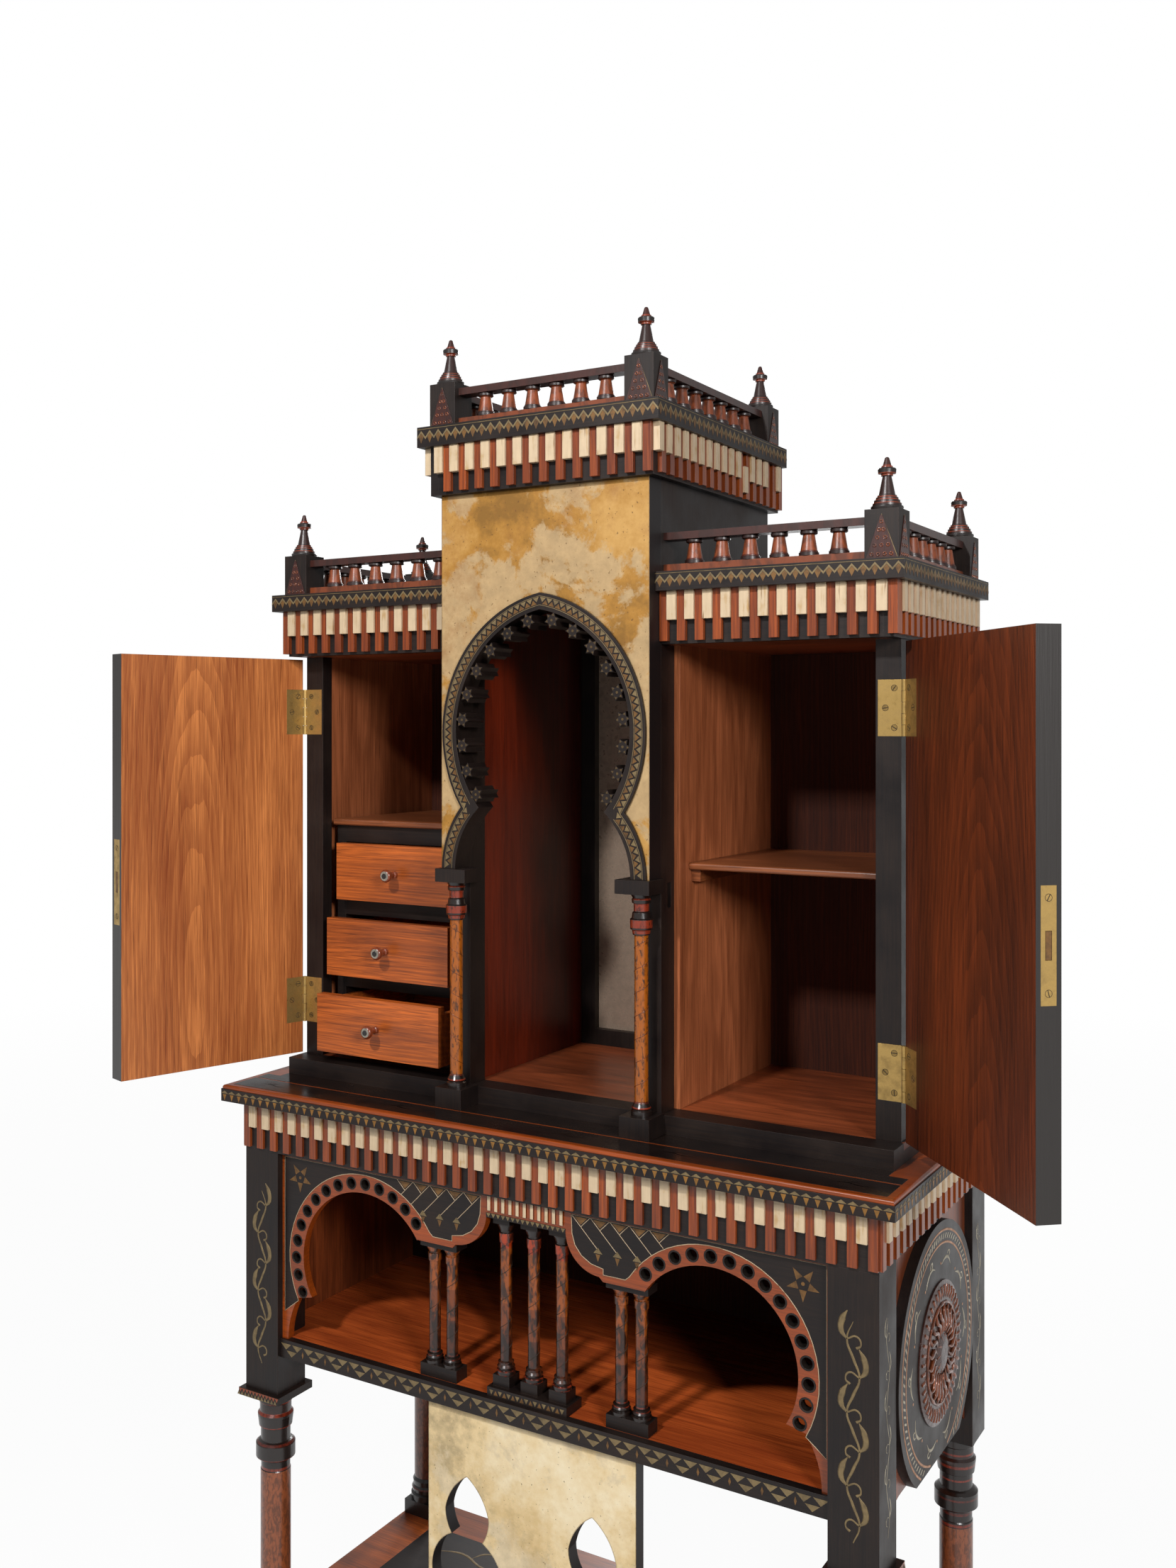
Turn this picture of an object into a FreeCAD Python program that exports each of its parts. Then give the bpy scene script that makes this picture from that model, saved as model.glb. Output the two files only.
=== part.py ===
import FreeCAD, Part
import os
from math import cos, radians, sin, sqrt
from FreeCAD import Vector

# Cabinet on a stand, in millimetres. X runs to the right along the front, Y to the back, Z up.
# The origin is on the floor, in the middle of the case's footprint.

# Stand
table_height = 890.0
case_width = 891.0
case_depth = 419.0
post_size = 57.0
post_drop = 395.0
post_plate_size = 71.0
post_plate_height = 10.0
leg_radius = 20.8
platform_height = 138.0
platform_thickness = 28.0
platform_border = 64.0
platform_panel_thickness = 20.0
foot_radius = 25.0
leg_block_size = 52.0
leg_block_height = 22.0
lost_plate_index = 3

# Case under the table top
case_floor_drop = 341.0
case_floor_thickness = 25.0
bottom_rail_thickness = 12.0
bottom_rail_setback = 6.0
case_wall = 10.0
case_side_setback = 10.0
side_bracket_drop = 18.0
side_bracket_reach = 48.0
bracket_bend_share = 0.35
disc_radius = 150.5
disc_thickness = 12.0
disc_drop = 242.5
boss_radius = 82.0
boss_height = 7.0

# Arcade in the front of the case
fascia_setback = 10.0
fascia_thickness = 12.0
arch_offset = 248.5
arch_drop = 224.0
arch_radius = 103.0
arch_band = 23.0
arch_outer_cusp_angle = -30.4
arch_inner_cusp_angle = 146.3
hole_count = 15
hole_radius = 6.2
hole_circle = 115.0
first_hole_angle = -24.5
last_hole_angle = 137.0
fret_half_width = 57.0
fret_drop = 118.0
fret_sill = 9.0
fret_strip_count = 11
fret_strip_width = 4.2
fret_strip_proud = 2.0
bracket_drop = 166.0
bracket_step = 5.0
bracket_end = 108.0
bracket_swell_x_share = 0.3
bracket_swell_z_share = 0.36
post_bracket_width = 10.0
arcade_setback = 30.5
arcade_radius = 7.5
pair_offset = 135.5
pair_spacing = 27.0
pair_block_width = 56.0
triple_spacing = 40.5
small_block = 24.0
pair_block_height = 16.0
triple_slab_height = 12.0
triple_slab_depth = 37.0
triple_block_height = 14.0
abacus_height = 9.0

# Stretcher panel
stretcher_width = 298.0
stretcher_thickness = 19.0
stretcher_setback = 16.0
lobe_offset = 90.0
lobe_apex_drop = 87.0
lobe_half_width = 32.5
lobe_pinch_half_width = 23.0
lobe_widest_drop = 134.0
lobe_pinch_drop = 164.0
lobe_shoulder_share = 0.72
lobe_waist_share = 0.93
vase_half_width = 53.0
vase_centre_drop = 212.0

# Table top
table_side_overhang = 24.5
table_front_overhang = 23.5
table_back_overhang = 6.0
table_moulding = 5.0
table_moulding_inset = 1.5
table_moulding_radius = 3.0
table_edge = 17.0

# Friezes and their dentils
frieze_wall = 12.0
frieze_lip = 3.4
table_frieze_height = 66.0
cabinet_frieze_height = 63.0
tower_frieze_height = 62.0
red_width = 10.8
red_proud = 6.0
table_red_proud = 4.2
white_extra = 3.0
white_height = 34.5
white_gap = 0.4
table_front_reds = 39
table_side_reds = 19
cabinet_front_reds = 13
cabinet_side_reds = 16
tower_front_reds = 14
tower_side_reds = 17
lost_red_index = 0
slipped_white_index = 11
missing_white_index = 15
white_slip = 17.0

# Upper body
plinth_reveal = 3.0
plinth_setback = 78.5
plinth_height = 23.0
floor_board = 8.0
stile_setback = 114.0
carcass_half_width = 433.0
carcass_top = 590.8
carcass_board = 10.0
side_board = 10.0
stile_width = 29.5
stile_thickness = 20.0
lining = 6.5
partition_lining = 8.0
cabinet_back_gap = 9.0
tower_back_reach = 4.0
back_board = 8.0
cabinet_cornice_height = 23.2
cabinet_cornice_overhang = 17.0

# Tower
tower_half_width = 150.5
tower_setback = 47.5
tower_front_thickness = 31.0
tower_top = 790.0
tower_wall = 10.5
niche_stile = 23.5
niche_lining = 6.0
niche_ceiling_drop = 20.0
tower_frieze_proud = 10.0
tower_cornice_height = 26.0
tower_cornice_overhang = 12.9
niche_frame_width = 23.0
niche_frame_thickness = 12.0
mirror_thickness = 4.0

# Horseshoe arch of the tower
horseshoe_height = 483.0
horseshoe_radius = 177.7
horseshoe_centre = 30.7
horseshoe_frame = 20.5
horseshoe_cusp_drop = 95.0
horseshoe_proud = 4.0
impost_top = 308.0
impost_height = 17.0
impost_width = 50.0
impost_depth = 40.0
leg_arc_radius = 120.2
leg_arc_centre = 27.3
arch_middle_angle = 20.0
leg_middle_angle = 20.0
star_circle = 148.0
star_first_angle = 71.0
star_last_angle = -31.9
star_count = 9
star_points = 6
star_radius = 10.5
star_depth = 40.0
star_waist_share = 0.58
tower_block = 40.0
tower_block_height = 25.4
tower_column_offset = 134.4
tower_column_setback = 10.5
tower_column_radius = 8.4

# Doors, hinges and locks
door_thickness = 26.0
door_gap = 0.5
door_bottom_gap = 1.6
door_top_gap = 3.2
door_side_gap = 1.0
hinge_height = 64.0
hinge_leaf = 27.0
hinge_leaf_thickness = 2.0
knuckle_radius = 3.0
knuckle_gap = 0.4
pin_radius = 1.5
pin_play = 0.06
upper_hinge_height = 512.5
lower_hinge_height = 100.5
screw_head_radius = 3.6
screw_sink = 1.2
screw_point_share = 0.5
near_screw_share = 0.3
far_screw_share = 0.68
screw_spread_share = 0.35
right_door_angle = 132.0
left_door_angle = 107.0
lock_height = 286.0
lock_plate_height = 113.0
lock_plate_width = 16.0
lock_plate_thickness = 1.5
bolt_height = 27.0
bolt_thickness = 6.0
bolt_length = 18.0
bolt_play = 0.4
bolt_throw = 8.0
mortise_depth = 9.0
mortise_play = 2.0

# Shelves and drawers
right_shelf_height = 314.5
shelf_thickness = 8.5
right_shelf_setback = 24.0
shelf_play = 0.5
shelf_round_share = 0.35
batten_width = 12.0
batten_height = 15.0
batten_setback = 9.0
nest_side = 15.0
nest_rail = 24.0
nest_setback = 30.5
nest_depth = 242.0
nest_inset = 32.0
nest_gap = 4.5
nest_floor = 14.4
nest_back = 8.0
nest_shelf_overhang = 9.5
nest_shelf_thickness = 9.3
drawer_height = 80.0
drawer_pitch = 104.0
drawer_play = 0.5
drawer_depth = 228.0
drawer_front_thickness = 14.0
drawer_side = 8.0
drawer_bottom = 5.0
drawer_side_drop = 10.0
drawer_outs = {"top": 22.0, "middle": 43.5, "bottom": 65.0}
knob_radius = 8.8
knob_length = 26.0

# Galleries
gallery_post = 38.9
gallery_post_height = 56.0
gallery_side_inset = 11.0
gallery_front_inset = 15.0
gallery_back_inset = 6.5
tower_gallery_inset = 12.0
finial_height = 59.5
finial_radius = 18.2
lower_rail_height = 10.5
upper_rail_height = 9.0
rail_width = 21.0
baluster_height = 29.5
baluster_radius = 11.6
front_balusters = 6
cabinet_side_balusters = 6
tower_side_balusters = 7

# Places worked out from the sizes
overrun = 1.0
plinth_half_width = carcass_half_width + plinth_reveal
nest_left = carcass_half_width - nest_inset
nest_width = nest_left - tower_half_width - partition_lining - nest_gap
drawer_width = nest_width - 2 * nest_side - 2 * drawer_play
case_front = -case_depth / 2
case_back = case_depth / 2
case_side = case_width / 2
table_under = table_height - table_moulding - table_edge
post_bottom = table_under - post_drop
post_top = table_under - table_frieze_height
case_floor_top = table_height - case_floor_drop
case_floor_under = case_floor_top - case_floor_thickness
post_centre_x = case_side - post_size / 2
post_centre_y = case_depth / 2 - post_size / 2
arch_level = table_height - arch_drop
fascia_front = case_front + fascia_setback
disc_level = table_height - disc_drop
tower_front = case_front + tower_setback
plinth_front = case_front + plinth_setback
plinth_top = table_height + plinth_height
stile_front = case_front + stile_setback
cabinet_back = case_back - cabinet_back_gap
tower_back = case_back + tower_back_reach
frieze_bottom = table_height + carcass_top
tower_frieze_bottom = table_height + tower_top
pin_x = carcass_half_width + knuckle_radius + knuckle_gap
pin_y = stile_front - door_gap / 2
door_bottom = plinth_top + door_bottom_gap
door_height = carcass_top - plinth_height - door_bottom_gap - door_top_gap
door_width = carcass_half_width - tower_half_width - door_side_gap
nest_front = stile_front + nest_setback
lining_face = carcass_half_width - side_board - lining
partition_face = tower_half_width + partition_lining

up = Vector(0, 0, 1)
node_files = []
back_boards = []


def box(x0, x1, y0, y1, z0, z1):
    """A block between two corners."""
    return Part.makeBox(x1 - x0, y1 - y0, z1 - z0, Vector(x0, y0, z0))


def square(x, y, width, z0, z1):
    """An upright block of square section about a centre line."""
    return box(x - width / 2, x + width / 2, y - width / 2, y + width / 2, z0, z1)


def mirrored(shape):
    """The same shape on the other side of the middle plane."""
    return shape.mirror(Vector(), Vector(1, 0, 0))


def both(shapes):
    """Each shape with its mirror image."""
    return shapes + [mirrored(s) for s in shapes]


def save(name, shapes):
    """Write one named piece, or a group of like pieces, as a STEP file."""
    solids = [solid for shape in shapes for solid in shape.Solids]
    for solid in solids:
        if not solid.isValid():
            print("invalid solid in", name)
    shape = solids[0] if len(solids) == 1 else Part.makeCompound(solids)
    shape.exportStep("parts/" + name + ".step")
    node_files.append(name)


def outline(start, steps):
    """Edges in the XZ plane: a step of two values is a line, of four an arc through its first pair."""
    edges = []
    here = Vector(start[0], 0, start[1])
    for step in steps:
        there = Vector(step[-2], 0, step[-1])
        if len(step) == 2:
            edges.append(Part.LineSegment(here, there).toShape())
        else:
            edges.append(Part.Arc(here, Vector(step[0], 0, step[1]), there).toShape())
        here = there
    return edges


def plate(start, steps, front, thickness):
    """A board cut to an outline in the XZ plane."""
    face = Part.Face(Part.Wire(outline(start, steps)))
    return face.extrude(Vector(0, thickness, 0)).translated(Vector(0, front, 0))


def turned(x, y, bottom, height, radius, rows):
    """A turning: rows hold shares of height and radius, and a third share swells to the next row."""
    points = [(0, 0)] + [(row[1] * radius, row[0] * height) for row in rows] + [(0, rows[-1][0] * height)]
    edges = []
    for i, (here, there) in enumerate(zip(points, points[1:])):
        if here == there:
            continue
        a, b = Vector(here[0], 0, here[1]), Vector(there[0], 0, there[1])
        swell_share = rows[i - 1][2] if 0 < i <= len(rows) and len(rows[i - 1]) > 2 else 0
        if swell_share and i < len(rows):
            middle = (a + b) * 0.5 + Vector(swell_share * radius, 0, 0)
            edges.append(Part.Arc(a, middle, b).toShape())
        else:
            edges.append(Part.LineSegment(a, b).toShape())
    edges.append(Part.LineSegment(Vector(0, 0, points[-1][1]), Vector()).toShape())
    solid = Part.Face(Part.Wire(edges)).revolve(Vector(), up, 360)
    return Part.makeSolid(solid.Shells[0]).translated(Vector(x, y, bottom))


def on_circle(centre_x, centre_z, radius, angle):
    """A point on a circle in the XZ plane."""
    return centre_x + radius * cos(radians(angle)), centre_z + radius * sin(radians(angle))


def spread(first, last, count):
    """Evenly spaced places from the first to the last."""
    return [first + (last - first) * i / (count - 1) for i in range(count)]


foot_shares = [(0, 0.72), (0.12, 0.8, 0.12), (0.5, 1.0, 0.02), (0.62, 0.8), (0.7, 0.62),
               (0.82, 0.62), (0.82, 0.8), (1, 0.8)]
leg_shares = [(0, 1.25), (0.03, 1.25), (0.035, 1.12), (0.06, 1.2), (0.075, 1.08), (0.1, 1.12),
              (0.115, 1.0), (0.655, 1.0), (0.66, 0.96), (0.7, 0.96), (0.705, 1.12), (0.715, 1.3),
              (0.775, 1.3), (0.785, 1.12), (0.79, 0.98), (0.85, 0.98), (0.855, 1.1), (0.9, 1.18),
              (0.91, 1.18), (0.92, 1.04), (0.96, 1.04), (0.965, 1.1), (1, 1.1)]
column_shares = [(0, 1.6), (0.025, 1.6), (0.03, 1.35), (0.05, 1.5), (0.065, 1.25), (0.08, 1.35),
                 (0.09, 1.0), (0.87, 0.98), (0.872, 1.15), (0.935, 1.2), (0.937, 1.0),
                 (0.95, 1.05), (0.99, 1.5), (1, 1.5)]
tower_column_shares = [(0, 1.5), (0.02, 1.5), (0.025, 1.3), (0.035, 1.4), (0.05, 1.15), (0.06, 1.0),
                       (0.812, 1.0), (0.815, 1.25), (0.835, 1.35), (0.84, 1.6), (0.885, 1.64),
                       (0.89, 1.4), (0.915, 1.3), (0.92, 1.1), (0.955, 1.1), (0.958, 1.35),
                       (0.975, 1.4), (0.98, 1.25), (1, 1.6)]
finial_shares = [(0, 0.96), (0.05, 1.0), (0.07, 0.98), (0.075, 0.88), (0.125, 0.88), (0.13, 0.8),
                 (0.185, 0.78), (0.19, 0.7), (0.235, 0.68), (0.24, 0.61), (0.28, 0.58), (0.29, 0.5),
                 (0.64, 0.27), (0.645, 0.36), (0.675, 0.36), (0.69, 0.54), (0.77, 0.56), (0.79, 0.5),
                 (0.8, 0.36), (0.83, 0.34), (0.84, 0.27), (0.985, 0.13), (1, 0.08)]
baluster_shares = [(0, 1.0), (0.13, 1.0), (0.15, 0.9), (0.19, 0.9), (0.2, 0.84), (0.82, 0.58),
                   (0.84, 0.76), (0.87, 0.86), (0.96, 0.86), (1, 0.78)]
boss_shares = [(0, 1.0), (0.25, 1.0, 0.01), (0.6, 0.86), (0.45, 0.8), (0.45, 0.3, 0.02), (1, 0.16),
               (1, 0.06)]
knob_shares = [(0, 0.55), (0.16, 0.55), (0.2, 0.4), (0.42, 0.36), (0.5, 0.5, 0.18), (0.86, 1.0, 0.06),
               (0.96, 0.7), (0.96, 0.42), (1, 0.38)]


def make_stand():
    """Feet, platform, turned legs with their plates, posts and the pierced stretcher panel."""
    corners = [(sx * post_centre_x, sy * post_centre_y) for sx in (-1, 1) for sy in (-1, 1)]
    platform_under = platform_height - platform_thickness
    save("feet", [turned(x, y, 0, platform_under, foot_radius, foot_shares) for x, y in corners])

    outer = box(-case_side, case_side, case_front, case_back, platform_under, platform_height)
    inner_x, inner_y = case_side - platform_border, case_back - platform_border
    hole = box(-inner_x, inner_x, -inner_y, inner_y, platform_under - overrun, platform_height + overrun)
    save("platform_border", [outer.cut(hole)])
    save("platform_panel", [box(-inner_x, inner_x, -inner_y, inner_y,
                                platform_height - platform_panel_thickness, platform_height)])

    leg_bottom = platform_height + leg_block_height
    leg_top = post_bottom - post_plate_height
    legs = []
    for i, (x, y) in enumerate(corners):
        top = leg_top if i != lost_plate_index else post_bottom
        shaft = turned(x, y, leg_bottom, top - leg_bottom, leg_radius, leg_shares)
        legs.append(square(x, y, leg_block_size, platform_height, leg_bottom).fuse(shaft))
    save("turned_legs", legs)
    save("leg_plates", [square(x, y, post_plate_size, leg_top, post_bottom)
                        for i, (x, y) in enumerate(corners) if i != lost_plate_index])
    save("case_posts", [square(x, y, post_size, post_bottom, post_top) for x, y in corners])

    front = case_front + stretcher_setback
    half = stretcher_width / 2
    top = case_floor_under
    panel = box(-half, half, front, front + stretcher_thickness, platform_height, top)
    apex, widest = top - lobe_apex_drop, top - lobe_widest_drop
    pinch, vase = top - lobe_pinch_drop, top - vase_centre_drop
    shoulder = (apex + widest) / 2
    vase_bottom = 2 * vase - pinch
    shoulder_x, waist_x = lobe_half_width * lobe_shoulder_share, lobe_half_width * lobe_waist_share
    right = [(shoulder_x, shoulder, lobe_half_width, widest),
             (waist_x, (widest + pinch) / 2, lobe_pinch_half_width, pinch),
             (vase_half_width, vase, lobe_pinch_half_width, vase_bottom)]
    left = [(-lobe_pinch_half_width, vase_bottom), (-vase_half_width, vase, -lobe_pinch_half_width, pinch),
            (-waist_x, (widest + pinch) / 2, -lobe_half_width, widest), (-shoulder_x, shoulder, 0, apex)]
    cut = plate((0, apex), right + left, front - overrun, stretcher_thickness + 2 * overrun)
    for side in (-1, 1):
        panel = panel.cut(cut.translated(Vector(side * lobe_offset, 0, 0)))
    save("stretcher_panel", [panel])


def make_case():
    """Floor, rail, back and sides of the case, with the discs on its sides."""
    inner = case_side - post_size
    rail_front = case_front + bottom_rail_setback
    rail_back = rail_front + bottom_rail_thickness
    back_inner = case_back - case_wall
    side_outer = case_side - case_side_setback
    side_inner = side_outer - case_wall
    floor = box(-side_inner, side_inner, rail_back, back_inner, case_floor_under, case_floor_top)
    for x0 in (-case_side, inner):
        floor = floor.cut(box(x0, x0 + post_size, case_front, case_front + post_size,
                              case_floor_under - overrun, case_floor_top + overrun))
        floor = floor.cut(box(x0, x0 + post_size, case_back - post_size, case_back,
                              case_floor_under - overrun, case_floor_top + overrun))
    save("case_floor", [floor])
    save("bottom_rail", [box(-inner, inner, rail_front, rail_back, case_floor_under, case_floor_top)])
    back_boards.append(box(-inner, inner, back_inner, case_back, case_floor_under, post_top))

    y0, y1 = case_front + post_size, case_back - post_size
    low = case_floor_under - side_bracket_drop
    reach = side_bracket_reach
    bend = reach * bracket_bend_share
    bend_z = case_floor_under - side_bracket_drop * bracket_bend_share
    steps = [(y0 + bend, bend_z, y0 + reach, case_floor_under), (y1 - reach, case_floor_under),
             (y1 - bend, bend_z, y1, low), (y1, post_top), (y0, post_top), (y0, low)]
    side = plate((y0, low), steps, 0, case_wall)
    side.rotate(Vector(), up, 90)
    side.translate(Vector(side_outer, 0, 0))
    save("case_sides", both([side]))

    disc = Part.makeCylinder(disc_radius, disc_thickness, Vector(side_outer, 0, disc_level),
                             Vector(1, 0, 0))
    below = box(side_outer - overrun, side_outer + disc_thickness + overrun, case_front, case_back,
                platform_height, case_floor_under)
    disc = disc.cut(below)
    boss = turned(0, 0, 0, boss_height, boss_radius, boss_shares)
    boss.rotate(Vector(), Vector(0, 1, 0), 90)
    boss.translate(Vector(side_outer + disc_thickness, 0, disc_level))
    save("side_discs", both([disc]))
    save("disc_bosses", both([boss]))


def make_arcade():
    """Pierced fascia, the fret over the middle, and seven small columns on blocks."""
    inner = case_side - post_size
    top = table_under - table_frieze_height
    tip = on_circle(arch_offset, arch_level, arch_radius, arch_outer_cusp_angle)
    crown = on_circle(arch_offset, arch_level, arch_radius, 90)
    cusp = on_circle(arch_offset, arch_level, arch_radius, arch_inner_cusp_angle)
    fret_bottom = table_height - fret_drop
    bracket = table_height - bracket_drop
    heel = inner - post_bracket_width
    swell = (fret_half_width + (bracket_end - fret_half_width) * bracket_swell_x_share,
             bracket + (fret_bottom - bracket) * bracket_swell_z_share)
    steps = [(inner, top), (inner, case_floor_top), (heel, case_floor_top),
             (heel - bracket_step, (tip[1] + case_floor_top) / 2,
              tip[0] + arch_band, tip[1] - bracket_step),
             tip, (*crown, *cusp), (cusp[0], bracket), (bracket_end, bracket),
             (bracket_end - bracket_step, bracket + bracket_step), (*swell, fret_half_width, fret_bottom),
             (fret_half_width, top)]
    wing = plate((fret_half_width, top), steps, fascia_front, fascia_thickness)
    for angle in spread(first_hole_angle, last_hole_angle, hole_count):
        x, z = on_circle(arch_offset, arch_level, hole_circle, angle)
        wing = wing.cut(Part.makeCylinder(hole_radius, fascia_thickness + 2 * overrun,
                                          Vector(x, fascia_front - overrun, z), Vector(0, 1, 0)))
    save("arch_fascia", both([wing]))

    fret = box(-fret_half_width, fret_half_width, fascia_front, fascia_front + fascia_thickness,
               fret_bottom, top)
    strip_half = fret_strip_width / 2
    first = -fret_half_width + 3 * strip_half
    strips = [box(x - strip_half, x + strip_half, fascia_front - fret_strip_proud, fascia_front,
                  fret_bottom + fret_sill, top) for x in spread(first, -first, fret_strip_count)]
    save("centre_fret", [fret.fuse(strips).removeSplitter()])

    axis_y = case_front + arcade_setback
    half = small_block / 2
    columns, blocks = [], []

    def stand(x, bottom, cap_top):
        """One small column between the top of its block and the slab over it."""
        columns.append(turned(x, axis_y, bottom, cap_top - abacus_height - bottom, arcade_radius,
                              column_shares))

    for side in (-1, 1):
        x0, x1 = side * pair_offset - pair_block_width / 2, side * pair_offset + pair_block_width / 2
        block_top = case_floor_top + pair_block_height
        blocks.append(box(x0, x1, axis_y - half, axis_y + half, case_floor_top, block_top))
        blocks.append(box(x0, x1, axis_y - half, axis_y + half, bracket - abacus_height, bracket))
        stand(side * pair_offset - pair_spacing / 2, block_top, bracket)
        stand(side * pair_offset + pair_spacing / 2, block_top, bracket)
    slab_top = case_floor_top + triple_slab_height
    block_top = slab_top + triple_block_height
    slab_half = triple_slab_depth / 2
    blocks.append(box(-fret_half_width, fret_half_width, axis_y - slab_half, axis_y + slab_half,
                      case_floor_top, slab_top))
    for x in (-triple_spacing, 0, triple_spacing):
        blocks.append(square(x, axis_y, small_block, slab_top, block_top))
        blocks.append(square(x, axis_y, small_block, fret_bottom - abacus_height, fret_bottom))
        stand(x, block_top, fret_bottom)
    save("arcade_columns", columns)
    save("arcade_blocks", blocks)


def make_table():
    """Moulded top over the frieze that goes round the case."""
    x1 = case_side + table_side_overhang
    y0, y1 = case_front - table_front_overhang, case_back + table_back_overhang
    edge_top = table_height - table_moulding
    edge = box(-x1, x1, y0, y1, table_under, edge_top)
    inset = table_moulding_inset
    moulding = box(-x1 + inset, x1 - inset, y0 + inset, y1, edge_top, table_height)
    rounded = [e for e in moulding.Edges
               if min(v.Z for v in e.Vertexes) > edge_top and min(v.Y for v in e.Vertexes) < y1 - inset]
    moulding = moulding.makeFillet(table_moulding_radius, rounded)
    save("table_edge", [edge])
    save("table_top", [moulding])


def dentil_row(start, end, reds):
    """Centres of the reds and of the whites between them along one row."""
    red_places = spread(start + red_width / 2, end - red_width / 2, reds)
    white_places = [(a + b) / 2 for a, b in zip(red_places, red_places[1:])]
    pitch = red_places[1] - red_places[0]
    return red_places, white_places, pitch - red_width - white_gap


def make_friezes():
    """Frieze boards under the three cornices and the table, with red and bone dentils."""
    boards, reds, whites = [], [], []

    def front_row(x0, x1, face, bottom, top, count, proud, lost_red=None):
        red_places, white_places, white_width = dentil_row(x0, x1, count)
        for i, x in enumerate(red_places):
            if i != lost_red:
                reds.append(box(x - red_width / 2, x + red_width / 2, face - proud, face,
                                bottom + frieze_lip, top))
        for x in white_places:
            whites.append(box(x - white_width / 2, x + white_width / 2, face - proud - white_extra, face,
                              top - white_height, top))

    def side_rows(y0, y1, face, bottom, top, count, proud, slipped=None, missing=None,
                  white_first=False):
        """One row on each side. It starts at the front with a red, or with a white in the red's place."""
        first = y0 - red_width - white_gap if white_first else y0
        red_places, white_places, white_width = dentil_row(first, y1, count + white_first)
        if white_first:
            red_places = red_places[1:]
        for side in (-1, 1):
            x0, x1 = sorted((side * face, side * (face + proud)))
            for y in red_places:
                reds.append(box(x0, x1, y - red_width / 2, y + red_width / 2, bottom + frieze_lip, top))
            x0, x1 = sorted((side * face, side * (face + proud + white_extra)))
            for i, y in enumerate(white_places):
                if side > 0 and i == missing:
                    continue
                drop = white_slip if side > 0 and i == slipped else 0
                whites.append(box(x0, x1, y - white_width / 2, y + white_width / 2,
                                  top - white_height - drop, top - drop))

    # Frieze of the case
    wall = frieze_wall
    side = box(case_side - wall, case_side, case_front, case_back, post_top, table_under)
    boards += both([side])
    for y in (case_front, case_back - wall):
        boards.append(box(-case_side + wall, case_side - wall, y, y + wall, post_top, table_under))
    front_row(-case_side, case_side, case_front, post_top, table_under, table_front_reds, table_red_proud)
    side_rows(case_front, case_back, case_side, post_top, table_under, table_side_reds, table_red_proud)

    # Friezes of the side cabinets
    top = frieze_bottom + cabinet_frieze_height
    x0, x1 = tower_half_width, plinth_half_width
    boards += both([box(x1 - wall, x1, plinth_front, cabinet_back, frieze_bottom, top)])
    for y in (plinth_front, cabinet_back - wall):
        boards += both([box(x0, x1 - wall, y, y + wall, frieze_bottom, top)])
    start, end = x0 + white_gap, x1 + red_proud
    front_row(start, end, plinth_front, frieze_bottom, top, cabinet_front_reds, red_proud)
    front_row(-end, -start, plinth_front, frieze_bottom, top, cabinet_front_reds, red_proud)
    side_rows(plinth_front, cabinet_back, x1, frieze_bottom, top, cabinet_side_reds, red_proud)

    # Frieze of the tower
    x1 = tower_half_width + tower_frieze_proud
    front_y = tower_front - tower_frieze_proud
    bottom, top = tower_frieze_bottom, tower_frieze_bottom + tower_frieze_height
    boards += both([box(x1 - wall, x1, front_y, tower_back, bottom, top)])
    for y in (front_y, tower_back - wall):
        boards.append(box(-x1 + wall, x1 - wall, y, y + wall, bottom, top))
    front_row(-x1, x1, front_y, bottom, top, tower_front_reds, red_proud, lost_red_index)
    side_rows(front_y, tower_back, x1, bottom, top, tower_side_reds, red_proud,
              slipped_white_index, missing_white_index, white_first=True)
    save("frieze_boards", boards)
    save("red_dentils", reds)
    save("bone_dentils", whites)


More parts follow.
